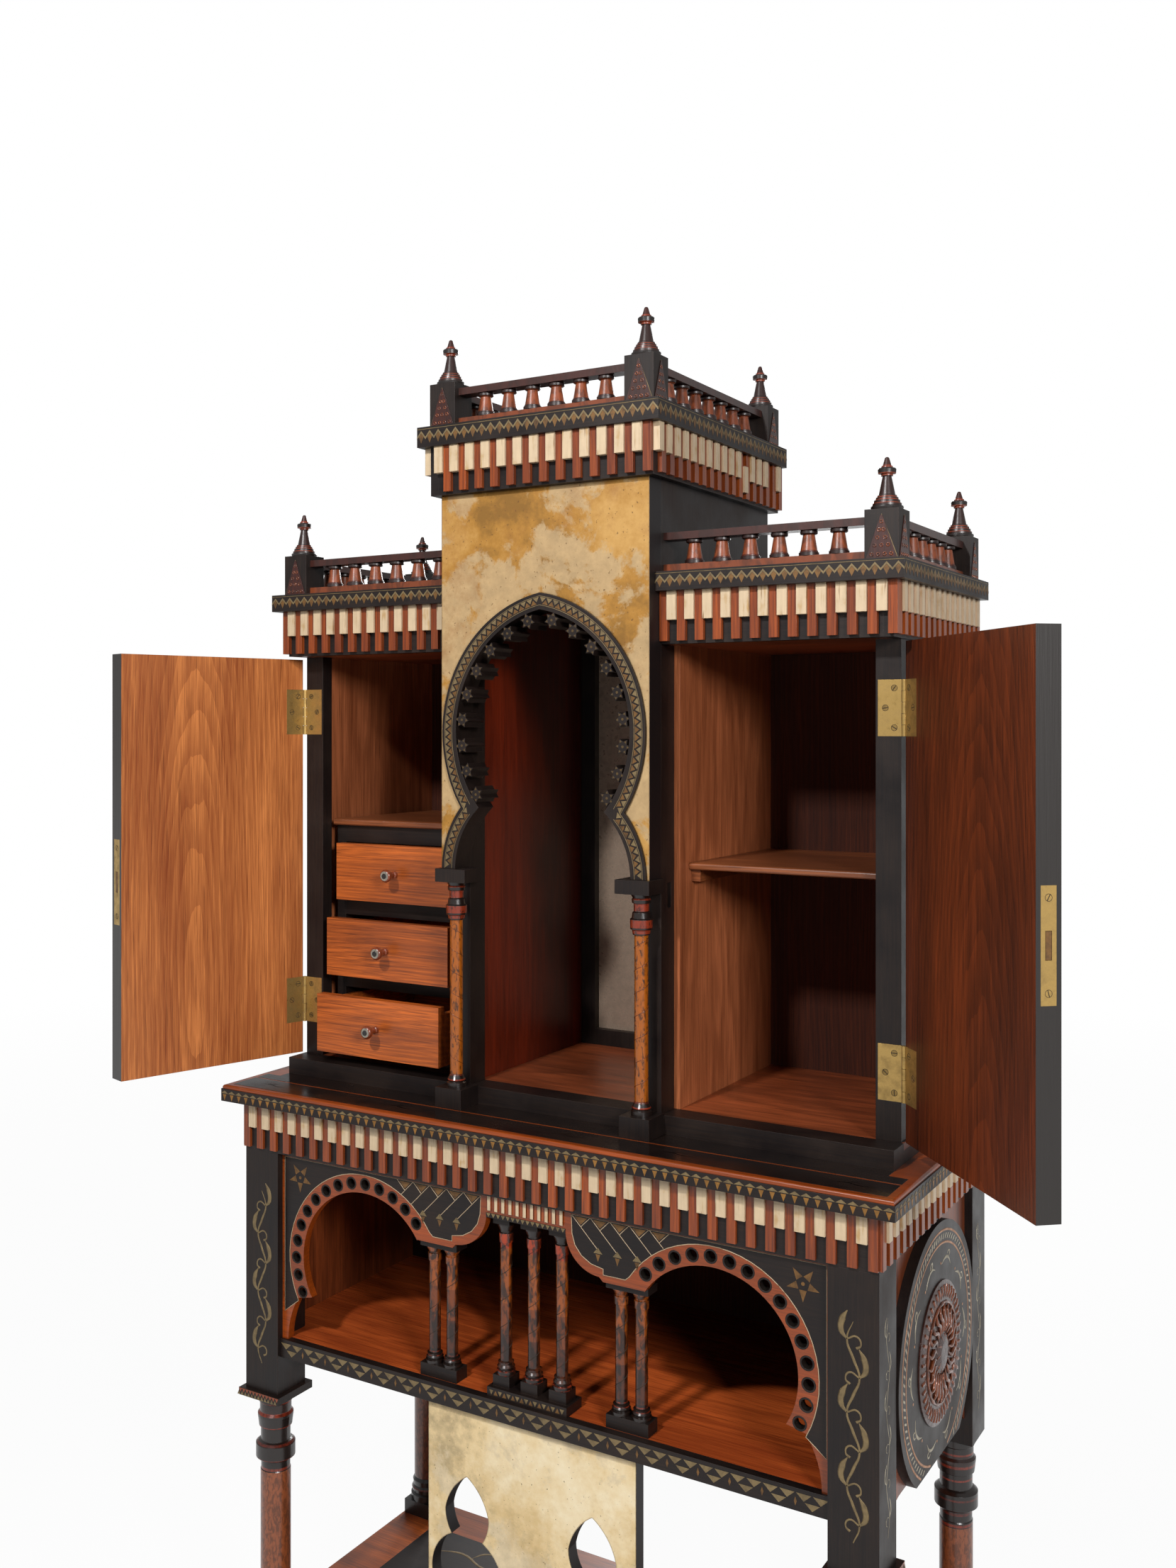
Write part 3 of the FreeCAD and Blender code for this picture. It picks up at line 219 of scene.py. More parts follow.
def ebonised(name, colours, grain="Z", gloss=0.4, wear=1.0):
    """Pearwood stained black and polished: faint brown fibres, rubbed edges and specks of dust, all drawn
    coarser than real ones, so that they show."""
    material, shader, node = new_finish(name, Specular_IOR_Level=0.3, IOR=1.5)
    place = node("TexCoord").outputs["Object"]
    thin = (0.03, 1, 1) if grain == "X" else (1, 1, 0.03)
    long = node("VectorMath", {0: place, 1: thin}, operation="MULTIPLY")
    fibre = node("TexNoise", {0: long, "Scale": 1 / (2 * mm), "Detail": 4.0, "Roughness": 0.7})
    cloud = node("TexNoise", {0: place, "Scale": 1 / (77 * mm), "Detail": 5.0, "Roughness": 0.6})
    tone = node("Math", {0: fibre, 1: cloud}, operation="MULTIPLY")
    tone = node("MapRange", {0: tone, 1: 0.14, 2: 0.44})
    colour = node("Mix", {0: tone, 6: shade(colours.ebony, 0.8), 7: shade(colours.ebony_worn, 0.7)},
                  data_type="RGBA")
    specks = node("TexNoise", {0: place, "Scale": 1 / (2.4 * mm)})
    specks = node("MapRange", {0: specks, 1: 0.72, 2: 0.76, 4: 0.35})
    rounded = cut_surface(node, shader, fibre, 0.1 * mm, 0.7 * mm)
    rub = node("Math", {0: edge_mask(node, rounded, 0.75, 0.985), 1: cloud}, operation="MULTIPLY")
    worn = node("Math", {0: rub, 1: wear, 2: specks}, operation="MULTIPLY_ADD", use_clamp=True)
    feed(shader, {"Base Color": node("Mix", {0: worn, 6: colour, 7: shade(colours.ebony_worn, 1.7)},
                                     data_type="RGBA"),
                  "Roughness": node("MapRange", {0: cloud, 1: 0.3, 2: 0.7, 3: gloss - 0.08, 4: gloss + 0.15})})
    return material


def turned_lacquer(name, bands, mottle=0.75, gloss=0.28, fine=6.7 * mm, axis="Z", cover=0.44, polish=0.2):
    """Turned and lacquered wood: bands of colour along its axis, with dark clouds like tortoiseshell in them.
    The bands are places in metres, each with the colour beyond it, and the last place ends them."""
    material, shader, node = new_finish(name, Coat_Weight=polish, Coat_Roughness=0.15, IOR=1.5, Roughness=gloss)
    place = node("TexCoord").outputs["Object"]
    height = node("SeparateXYZ", {0: place}).outputs[axis]
    low, high = bands[0][0], bands[-1][0]
    banded = node("ValToRGB", {0: node("MapRange", {0: height, 1: low, 2: high})},
                  ramp=[((level - low) / (high - low), linear(code)) for level, code in bands])
    banded.color_ramp.interpolation = "CONSTANT"
    long = node("VectorMath", {0: place, 1: (1, 1, 0.4)}, operation="MULTIPLY")
    cloud = node("TexNoise", {0: long, "Scale": 1 / fine, "Detail": 5.0, "Roughness": 0.6, "Distortion": 0.6})
    amount = node("MapRange", {0: cloud, 1: cover, 2: cover + 0.14, 4: mottle})
    feed(shader, {"Base Color": node("Mix", {0: amount, 6: banded, 7: linear("#1c100b")}, data_type="RGBA")})
    cut_surface(node, shader, cloud, 0.25 * mm, 0.4 * mm)
    return material


def vellum_skin(name, colours, golden, light, worn, umber, middle=(0, 0, 0), reach=0.0):
    """Varnished vellum on a black board: golden clouds, scuffed pale patches, brown specks, and dark brown edges
    that are partly dirt and partly painted shade. Round a middle point, out to a reach, it is scuffed all over."""
    material, shader, node = new_finish(name, Specular_IOR_Level=0.35, IOR=1.5, Roughness=0.5)
    coordinates = node("TexCoord").outputs
    place = coordinates["Object"]
    broad = node("TexNoise", {0: place, "Scale": 1 / (140 * mm), "Detail": 4.0, "Roughness": 0.6})
    fine = node("TexNoise", {0: place, "Scale": 1 / (17 * mm), "Detail": 6.0, "Roughness": 0.7})
    tone = node("Math", {0: fine, 1: 0.5, 2: broad}, operation="MULTIPLY_ADD")
    colour = node("ValToRGB", {0: node("MapRange", {0: tone, 1: 0.56, 2: 0.94})},
                  ramp=[(0.0, shade(golden, 0.6)), (0.4, linear(golden)), (1.0, linear(light))])
    flakes = node("TexNoise", {0: place, "Scale": 1 / (83 * mm), "Detail": 9.0, "Roughness": 0.66,
                               "Distortion": 0.25})
    if reach:
        away = node("VectorMath", {0: place, 1: middle}, operation="DISTANCE")
        flakes = node("Math", {0: flakes, 1: node("MapRange", {0: away, 1: reach, 2: reach - 0.07, 4: 0.1})})
    scuffed = node("MapRange", {0: flakes, 1: 0.52, 2: 0.57, 4: 0.85})
    dusty = node("Mix", {0: fine, 6: shade(worn, 0.6), 7: shade(worn, 1.3)}, data_type="RGBA")
    stain = node("TexNoise", {0: place, "W": 3.0, "Scale": 1 / (110 * mm), "Detail": 9.0, "Roughness": 0.72},
                 noise_dimensions="4D")
    speck = node("TexNoise", {0: place, "Scale": 1 / (3.8 * mm)})
    speck = node("MapRange", {0: speck, 1: 0.68, 2: 0.73, 4: 0.7})
    rounded = cut_surface(node, shader, flakes, 0.35 * mm, 2.5 * mm)
    # Dark brown along the edges, partly dirt and partly painted shade, and brown specks.
    edge_shade_and_specks = node("Math", {0: edge_mask(node, rounded, 0.8, 0.99), 1: speck}, operation="MAXIMUM")
    layers = [(scuffed, dusty), (node("MapRange", {0: stain, 1: 0.53, 2: 0.66, 4: 0.6}), linear(umber)),
              (edge_shade_and_specks, linear("#5d3f1f"))]
    for mask, layer in layers:
        colour = node("Mix", {0: mask, 6: colour, 7: layer}, data_type="RGBA")
    toward = node("SeparateXYZ", {0: coordinates["Normal"]}).outputs["Y"]
    front = node("Math", {0: toward, 1: -0.9}, operation="LESS_THAN")
    feed(shader, {"Base Color": node("Mix", {0: front, 6: shade(colours.ebony, 0.9), 7: colour},
                                     data_type="RGBA")})
    return material


def sawn_bone(bone):
    """Sawn bone: pale blocks with brown dirt along their edges, thin cracks and a faint grain."""
    material, shader, node = new_finish("sawn bone", IOR=1.54, Coat_Weight=0.1, Roughness=0.42)
    place = node("TexCoord").outputs["Object"]
    long = node("VectorMath", {0: place, 1: (1, 1, 0.08)}, operation="MULTIPLY")
    grain = node("TexNoise", {0: long, "Scale": 1 / (3 * mm), "Detail": 4.0})
    cloud = node("TexNoise", {0: place, "Scale": 1 / (18 * mm), "Detail": 3.0})
    tone = node("Math", {0: grain, 1: cloud}, operation="MULTIPLY")
    colour = node("ValToRGB", {0: tone}, ramp=[(0.1, linear("#b08c58")), (0.2, shade(bone, 0.9)), (0.36, bone)])
    crack = node("TexNoise", {0: long, "Scale": 1 / (5.3 * mm)})
    crack = node("MapRange", {0: crack, 1: 0.68, 2: 0.74})
    rounded = cut_surface(node, shader, grain, 0.15 * mm, 0.9 * mm)
    dirt = node("Math", {0: edge_mask(node, rounded, 0.75, 0.97), 1: cloud}, operation="MULTIPLY")
    dirt = node("Math", {0: dirt, 1: crack}, operation="MAXIMUM")
    feed(shader, {"Base Color": node("Mix", {0: dirt, 6: colour, 7: linear("#7a5630")}, data_type="RGBA")})
    return material


def metal(name, colour, rough=0.42, tarnish="#3a2f22", amount=0.55, sheen=1.0, polish=0.0, chased=0.0):
    """Sheet metal worn by hands: brushed lines, a film of tarnish and dull spots. The lines are drawn
    coarser than real ones, so that they show. A chased one is embossed all over to a depth."""
    material, shader, node = new_finish(name, Metallic=sheen, Coat_Weight=polish, Coat_Roughness=0.12)
    place = node("TexCoord").outputs["Object"]
    brushed = node("VectorMath", {0: place, 1: (1, 1, 0.05)}, operation="MULTIPLY")
    lines = node("TexNoise", {0: brushed, "Scale": 1 / (1.1 * mm)})
    cloud = node("TexNoise", {0: place, "Scale": 1 / (11 * mm), "Detail": 5.0, "Roughness": 0.65})
    film = node("MapRange", {0: cloud, 1: 0.42, 2: 0.7, 4: amount})
    feed(shader, {"Base Color": node("Mix", {0: film, 6: linear(colour), 7: linear(tarnish)}, data_type="RGBA"),
                  "Roughness": node("MapRange", {0: cloud, 1: 0.3, 2: 0.75, 3: rough - 0.1, 4: rough + 0.2})})
    cut_surface(node, shader, cloud if chased else lines, chased or 0.03 * mm, 0.25 * mm)
    return material


def dress(look, *names):
    """Gives CAD nodes a finish or a material in their own slots."""
    material = finish(look) if isinstance(look, str) else look
    for name in names:
        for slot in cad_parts[name].material_slots:
            slot.material = material


kept = {}


def finish(name):
    """One of the cabinet's finishes, made when it is first asked for."""
    if name in kept:
        return kept[name]
    c = bpy.context.scene.cabinet_colours
    makers = {
        "upright black": lambda: ebonised("ebonised pearwood, upright grain", c),
        "level black": lambda: ebonised("ebonised pearwood, level grain", c, grain="X"),
        "polished black": lambda: ebonised("polished ebonised veneer", c, grain="X", gloss=0.2, wear=0.4),
        "upright mahogany": lambda: timber("mahogany, upright grain", c.mahogany_dark, c.mahogany_light),
        "level walnut": lambda: timber("figured walnut, level grain", c.walnut_dark, c.walnut_light, grain="X",
                                       figure=0.25, shift=0.3),
        "orange": lambda: timber("orange fruitwood", shade(c.fruitwood, 0.5), c.fruitwood, grain="X",
                                 gloss=0.28),
        "red": lambda: timber("red fruitwood dentils", "#561f0a", "#964516", gloss=0.32),
        "bone": lambda: sawn_bone(c.bone),
        "pewter": lambda: metal("pewter inlay", c.pewter, rough=0.5, tarnish="#40362a", amount=0.6, sheen=0.3),
        "copper": lambda: metal("copper inlay", c.copper, rough=0.45, tarnish="#2f2117", amount=0.8, sheen=0.35),
        "gold": lambda: metal("golden copper inlay", "#94682f", rough=0.45, tarnish="#3a2a18", sheen=0.4),
        "plaque": lambda: timber("stamped red-brown plaques", "#1f0b08", "#431a12", gloss=0.32),
        "brass": lambda: metal("worn brass", c.brass, rough=0.35, amount=0.4, sheen=0.75),
        "screws": lambda: metal("dull screw heads", shade(c.brass, 0.6), rough=0.45, sheen=0.8),
        # Dark metal: painted shade in the screw slots and round the screw heads, and also the arcade columns'
        # thin wires.
        "slots": lambda: metal("dark metal: painted shade in screw slots, and thin wires", "#2a2015", rough=0.6, sheen=0.3),
        "boss": lambda: metal("embossed and lacquered copper", "#7c3c18", rough=0.26, tarnish="#1c100a",
                              amount=0.9, sheen=0.3, polish=0.5, chased=1.2 * mm),
        # The ground between the bosses' relief is darker than their copper: partly its own dark lacquer, partly
        # painted shade of the recesses.
        "boss ground": lambda: metal("dark ground of the bosses", "#3c180c", rough=0.3, tarnish="#140a07",
                                     sheen=0.2, polish=0.3, chased=2.0 * mm),
        # Lighter copies of the pewter and copper for faces that look right: painted sheen of a grazing
        # reflection.
        "side_pewter_painted_sheen": lambda: metal("pewter inlay on the sides, lightened as painted sheen", "#b0a690", rough=0.38, tarnish="#5a5140", sheen=0.85),
        "side_copper_painted_sheen": lambda: metal("copper rings on the sides, lightened as painted sheen", "#b98661", rough=0.38, tarnish="#5c3c28", sheen=0.85),
        "dim": lambda: metal("dull star inlay", "#54401f", rough=0.5, sheen=0.3),
    }
    kept[name] = makers[name]()
    return kept[name]


def extent(node):
    """A node's lowest and highest X, Y and Z in millimetres."""
    low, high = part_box(node)
    return [value / mm for pair in zip(low, high) for value in pair]


def facing(side, x, y, z, turn=0.0):
    """Where a motif goes, in millimetres: its X across the face, its Y up it and its Z out of it."""
    across = Vector({"right": (0, 1, 0), "left": (0, -1, 0), "back": (-1, 0, 0)}.get(side, (1, 0, 0)))
    up = Vector((0, 1, 0) if side == "top" else (0, 0, 1))
    place = Matrix((across, up, across.cross(up))).transposed().to_4x4()
    place.translation = Vector((x, y, z)) * mm
    return place @ Matrix.Rotation(math.radians(turn), 4, "Z")


def around(side, x, y, z, radius, angles):
    """Places on a circle on a face, each turned so that its own Y points away from the middle."""
    return [facing(side, x, y, z, angle - 90) @ Matrix.Translation((0, radius * mm, 0)) for angle in angles]


def every(count, first=0.0):
    """Angles that share out a full turn."""
    return [first + 360 * i / count for i in range(count)]


def row(side, low, high, face, z, pitch, tall=1.0):
    """Even places along a face from one end to the other, stretched to meet, in millimetres."""
    count = max(1, round((high - low) / pitch))
    step = (high - low) / count
    middles = [low + step * (i + 0.5) for i in range(count)]
    stretch = Matrix.Diagonal((step / pitch, tall, 1, 1))
    spots = [(m, face) if side == "front" else (face, m) for m in middles]
    return [facing(side, x, y, z) @ stretch for x, y in spots]


def both(places):
    """These places, or one place, and their mirror images on the other half of the cabinet."""
    places = [places] if isinstance(places, Matrix) else places
    return places + [Matrix.Diagonal((-1, 1, 1, 1)) @ place for place in places]


def arc(x, z, radius, first, last, count):
    """Points on an arc from one angle in degrees to another."""
    angles = [math.radians(first + (last - first) * i / (count - 1)) for i in range(count)]
    return [(x + radius * math.cos(a), z + radius * math.sin(a)) for a in angles]


def tile(corners, material, proud=1.0):
    """A flat piece of inlay in a finish, with these corners in millimetres: a polygon that is extruded."""
    thickness = proud * bpy.context.scene.cabinet_sizes.inlay_proud
    bpy.ops.object.select_all(action="DESELECT")
    bpy.ops.mesh.primitive_circle_add(vertices=len(corners), fill_type="NGON")
    piece = bpy.context.object
    for vertex, corner in zip(piece.data.vertices, corners):
        vertex.co = Vector((*corner, 0)) * mm
    bpy.ops.object.mode_set(mode="EDIT")
    bpy.ops.mesh.select_all(action="SELECT")
    bpy.ops.mesh.extrude_region_move(TRANSFORM_OT_translate={"value": (0, 0, thickness)})
    bpy.ops.mesh.select_all(action="SELECT")
    bpy.ops.mesh.normals_make_consistent(inside=False)
    bpy.ops.object.mode_set(mode="OBJECT")
    piece.data.materials.append(finish(material))
    return piece


def stroke(points, widths, material, smooth=True, closed=False, flat=True, steps=5):
    """A line of inlay in a finish through these points in millimetres, as wide at each as given, or all
    along. A flat one is pressed down to the inlay's thickness, and the others stay round."""
    if isinstance(widths, float):
        widths = [widths] * len(points)
    bpy.ops.object.select_all(action="DESELECT")
    bpy.ops.curve.primitive_bezier_curve_add()
    line = bpy.context.object
    curve = line.data
    curve.dimensions = "3D"
    curve.bevel_depth = 0.5 * mm
    curve.bevel_resolution = 1
    curve.resolution_u = steps if smooth else 1
    curve.use_fill_caps = True
    spline = curve.splines[0]
    spline.bezier_points.add(len(points) - 2)
    spline.use_cyclic_u = closed
    for knot, point, width in zip(spline.bezier_points, points, widths):
        knot.handle_left_type = knot.handle_right_type = "AUTO" if smooth else "VECTOR"
        knot.co = Vector((*point, 0)[:3]) * mm
        knot.radius = width
    bpy.ops.object.convert(target="MESH")
    line = bpy.context.object
    if flat:
        proud = bpy.context.scene.cabinet_sizes.inlay_proud
        for vertex in line.data.vertices:
            vertex.co.z = max(-proud, min(proud, vertex.co.z))
    line.data.materials.clear()
    line.data.materials.append(finish(material))
    return line


def set_out(name, *motifs, slot="copper", body="cabinet"):
    """Copies each motif to its places, joins the copies into one piece and fixes it to a body."""
    copies = []
    bpy.ops.object.select_all(action="DESELECT")
    for motif, places in motifs:
        for place in places:
            copy = motif.copy()
            copy.data = motif.data.copy()
            copy.data.transform(place)
            bpy.context.collection.objects.link(copy)
            copies.append(copy)
        bpy.data.objects.remove(motif)
    for copy in copies:
        copy.select_set(True)
    bpy.context.view_layer.objects.active = copies[-1]
    bpy.ops.object.join()
    piece = bpy.context.object
    piece.name = name
    bpy.ops.object.mode_set(mode="EDIT")
    bpy.ops.mesh.select_all(action="SELECT")
    bpy.ops.mesh.normals_make_consistent(inside=False)
    bpy.ops.object.mode_set(mode="OBJECT")
    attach(piece, body)
    return piece


class CABINET_OT_dress_woods(bpy.types.Operator):
    """Finish the black, walnut, mahogany and fruitwood boards"""
    bl_idname = "cabinet.dress_woods"
    bl_label = "Boards"

    def execute(self, context):
        dress("upright black", "case_posts", "feet", "leg_plates", "cabinet_sides", "tower_walls", "arch_frame",
              "star_prisms", "gallery_posts", "niche_frame", "side_discs", "column_blocks", "impost_blocks")
        dress("level black", "table_edge", "bottom_rail", "frieze_boards", "cornice_boards", "plinth",
              "drawer_nest", "arcade_blocks", "platform_panel")
        dress("upright mahogany", "case_sides")
        dress("level walnut", "drawer_top", "drawer_middle", "drawer_bottom", "platform_border")
        dress("orange", "table_top", "centre_fret")
        dress("red", "red_dentils")
        dress("bone", "bone_dentils")
        dress(timber("polished mahogany floors", "#4c2414", "#a0502c", grain="X", gloss=0.3), "carcass_boards")
        # The linings are darker and redder in the niche: partly their own colour, partly painted shade of the
        # narrow recess.
        dress(timber("mahogany linings, darker in the niche, partly painted shade", "#70391f", "#b56a42", stained=145 * mm,
                     polish=0.05), "wall_linings")
        # The case floor is lighter than the other mahogany floors: partly its own colour, partly painted light
        # of the pool that falls on it.
        dress(timber("polished mahogany, case floor, lightened as painted light", "#7c2f14", "#c65c28", grain="X", gloss=0.26), "case_floor")
        # Very dark back boards: partly dark wood, partly painted shade of the deep interior.
        dress(timber("dark back boards, partly painted shade", "#2a0f07", "#4a2110", gloss=0.75, polish=0.0), "back_boards")
        dress(timber("dark walnut shelf", "#542a14", "#8c4e2a", grain="X"), "shelves", "shelf_battens")
        rails = [(1.56, "#7c3c1e"), (1.59, "#3c1a13"), (1.7, "#7c3c1e"), (1.79, "#3c1a13"), (1.83, "#3c1a13")]
        dress(turned_lacquer("polished rails, orange and dark", rails, mottle=0.45, gloss=0.34, fine=14 * mm),
              "gallery_rails")
        fruitwood = context.scene.cabinet_colours.fruitwood
        depth, radius = 193.5, 115.0
        holes = [value * mm for value in (arch_x, depth, arch_z, radius)]
        dress(timber("orange fruitwood, black in its holes", shade(fruitwood, 0.45), shade(fruitwood, 0.9),
                     grain="X", gloss=0.3, face=(0, -1, 0), holes=holes), "arch_fascia")
        for side, dark, light, aside, above, shift in (("left", "#843f1c", "#d08044", 0.0, 0.3, 0.0),
                                                       ("right", "#301207", "#763314", 0.02, -0.02, 0.7)):
            door = side + "_door"
            low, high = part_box(door)
            heart = ((low[0] + high[0]) / 2 + aside, (low[1] + high[1]) / 2 - aside, low[2] + above)
            turned = math.radians(opened[door])
            face = (math.sin(turned) * (1 if side == "left" else -1), math.cos(turned), 0)
            dress(timber("walnut door, ebonised edges, " + side, dark, light, figure=0.4, heart=heart,
                         shift=shift, face=face), door)
        return {"FINISHED"}


class CABINET_OT_dress_turnings(bpy.types.Operator):
    """Lacquer the columns, legs, finials and balusters"""
    bl_idname = "cabinet.dress_turnings"
    bl_label = "Turnings"

    def bands(self, low, high, shares):
        """Heights in metres of the bands on a turning that stands from one height to another."""
        return [(low + (high - low) * share, code) for share, code in shares]

    def execute(self, context):
        black, red, amber = "#1a120f", "#7d2c17", context.scene.cabinet_colours.amber
        low, high = (corner[2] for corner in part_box("tower_columns"))
        tower = self.bands(low, high, [
            (0, black), (0.03, red), (0.036, black), (0.052, "#5e2413"), (0.06, amber), (0.812, black),
            (0.82, red), (0.838, black), (0.846, red), (0.88, black), (0.92, red), (0.955, black), (0.97, red),
            (0.98, black), (1, black)])
        dress(turned_lacquer("tortoiseshell lacquer, tower columns", tower, mottle=0.85, fine=3.8 * mm,
                             cover=0.5), "tower_columns")
        low, high = (corner[2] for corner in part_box("arcade_columns"))
        arcade = self.bands(low, high, [
            (0, black), (0.045, red), (0.052, black), (0.07, red), (0.078, black), (0.09, "#4a2210"),
            (0.3, "#6e3412"), (0.5, "#8a4412"), (0.84, "#9a3412"), (0.936, black), (1, black)])
        dress(turned_lacquer("tortoiseshell lacquer, arcade columns", arcade, mottle=0.92, cover=0.42,
                             polish=0.1), "arcade_columns")
        block_top, plate_foot = 0.16, 0.463
        legs = self.bands(block_top, plate_foot, [
            (0, black), (0.058, red), (0.064, black), (0.115, "#8a4a28"), (0.655, black), (0.66, red),
            (0.668, black), (0.705, "#5a1f13"), (0.715, black), (0.775, "#5a1f13"), (0.785, black), (0.85, red),
            (0.857, black), (0.91, red), (0.92, "#2a1510"), (0.96, red), (0.966, black), (1, black)])
        dress(turned_lacquer("chased copper lacquer, legs", legs, mottle=0.55, fine=3.8 * mm), "turned_legs")
        spikes, tall = [], 0.0595
        for low in (1.623, 1.824):
            spikes += self.bands(low, low + tall, [
                (0, black), (0.07, "#2c120c"), (0.115, "#8a3a1e"), (0.13, "#2c120c"), (0.175, "#8a3a1e"),
                (0.19, "#2c120c"), (0.225, "#8a3a1e"), (0.24, "#2a1410"), (0.64, "#8a3a1e"), (0.69, black),
                (0.79, "#7a301b"), (0.84, "#3a1a13")])
        dress(turned_lacquer("black lacquer with red lines, finials", spikes + [(low + tall, black)], mottle=0.3,
                             gloss=0.36, polish=0.05), "finials")
        rings, tall = [], 0.0295
        for low in (1.5775, 1.7785):
            rings += self.bands(low, low + tall, [
                (0, "#2c1511"), (0.15, "#5a2617"), (0.19, "#8a4526"), (0.82, "#241310")])
        dress(turned_lacquer("brown lacquer, balusters", rings + [(low + tall, black)], mottle=0.55, gloss=0.38,
                             polish=0.05), "balusters")
        for name in ("drawer_top_knob", "drawer_middle_knob", "drawer_bottom_knob"):
            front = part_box(name)[0][1]
            knob = [(front, "#141110"), (front + 0.4 * mm, "#8a8478"), (front + 0.9 * mm, "#7c3618"),
                    (front + 0.1, black)]
            dress(turned_lacquer("turned end and red-brown neck, " + name, knob, mottle=0.3, axis="Y"), name)
        return {"FINISHED"}


class CABINET_OT_dress_metals(bpy.types.Operator):
    """Finish the hinges, locks, bosses, vellum and mirror"""
    bl_idname = "cabinet.dress_metals"
    bl_label = "Metal and vellum"

    def execute(self, context):
        colours = context.scene.cabinet_colours
        dress("screws", "stile_screws")
        dress("brass", "stile_hinge_leaves", "hinge_pins", "right_door_hinge_leaves",
              "left_door_hinge_leaves", "right_lock_plate", "left_lock_plate")
        # The bosses' ground: dark partly in its own colour, partly as painted shade between the relief.
        dress("boss ground", "disc_bosses")
        dress("copper", "right_lock_bolt", "left_lock_bolt")
        dress(vellum_skin("golden vellum, scuffed", colours, "#a37430", colours.vellum, "#b59a72", "#8a5a2c",
                          middle=(0, -0.15, 1.385), reach=0.26), "vellum_front")
        dress(vellum_skin("cream vellum", colours, "#e2c898", "#f0e0be", "#dcc8a4", "#c8a870"),
              "stretcher_panel")
        # A pale, half-diffuse pane: its light colour is painted reflection; the dark film on it is tarnish.
        dress(metal("old mirror, half diffuse with painted reflection", "#c2ab96", rough=0.3, amount=0.35, sheen=0.45), "mirror_plate")
        return {"FINISHED"}


class CABINET_OT_hinge_screws(bpy.types.Operator):
    """Ring the screw heads of the hinges and mark their slots in dark metal, as painted shade"""
    bl_idname = "cabinet.hinge_screws"
    bl_label = "Hinge screws"

    def heads(self, places):
        """A dark ring and a dark slot at each place, painted shade of the crevice round the head and of the
        slot, each slot turned another way.
        """
        turned = [place @ Matrix.Rotation(2.4 * i, 4, "Z") for i, place in enumerate(places)]
        ring = stroke(arc(0, 0, 3.5, 0, 337.5, 16), 0.5, "slots", closed=True, steps=2)
        slot = stroke([(-3.2, 0), (3.2, 0)], 0.9, "slots", smooth=False)
        return (ring, turned), (slot, turned)

    def execute(self, context):
        pin_x, pin_y = 436.4, -95.75
        near, far, reach = 424.9, 414.64, 22.4
        spots = []
        for middle in (990.5, 1402.5):
            spots += [(near, middle + reach), (far, middle), (near, middle - reach)]
        stile = both([facing("front", x, pin_y + 0.25, z) for x, z in spots])
        set_out("stile_screw_slots", *self.heads(stile), slot="brass")
        lock_x, lock_y, lock_heights = 151.5, -109, (1131, 1221)
        for name, side, edge in (("right_door", 1, "left"), ("left_door", -1, "right")):
            pin = Matrix.Translation((side * pin_x * mm, pin_y * mm, 0))
            swing = pin @ Matrix.Rotation(math.radians(side * opened[name]), 4, "Z") @ pin.inverted()
            places = [swing @ facing("back", side * x, pin_y - 0.25, z) for x, z in spots]
            places += [swing @ facing(edge, side * lock_x, lock_y, z) for z in lock_heights]
            set_out(name + "_screw_slots", *self.heads(places), slot="brass", body=name)
        return {"FINISHED"}


class CABINET_OT_cornice_inlay(bpy.types.Operator):
    """Inlay a fine line, a chevron ribbon and darts on the cornices"""
    bl_idname = "cabinet.cornice_inlay"
    bl_label = "Cornice inlay"

    def execute(self, context):
        pitch = context.scene.cabinet_sizes.cornice_pitch / mm
        half = pitch / 2
        ribbon = tile([(-half, -11.6), (0, -4.4), (half, -11.6), (half, -14.4), (0, -7.2), (-half, -14.4)],
                      "pewter")
        dart = tile([(-3.6, -11.6), (0, -7.6), (3.6, -11.6), (0, -18.9)], "copper")
        line = stroke([(-half, -2.6), (half, -2.6)], 0.8, "pewter", smooth=False)
        inner, x, front, back, top = 150.5, 453.0, -148.0, 200.5, 1567.0
        tower_x, tower_front, tower_back, tower_top = 173.4, -184.9, 213.5, 1768.0
        taller = 26.0 / 23.2
        places = both(row("front", inner, x, front, top, pitch) + row("right", front, back, x, top, pitch)
                      + row("right", tower_front, tower_back, tower_x, tower_top, pitch, taller))
        places += row("front", -tower_x, tower_x, tower_front, tower_top, pitch, taller)
        set_out("cornice_inlay", (ribbon, places), (dart, places), (line, places))
        return {"FINISHED"}


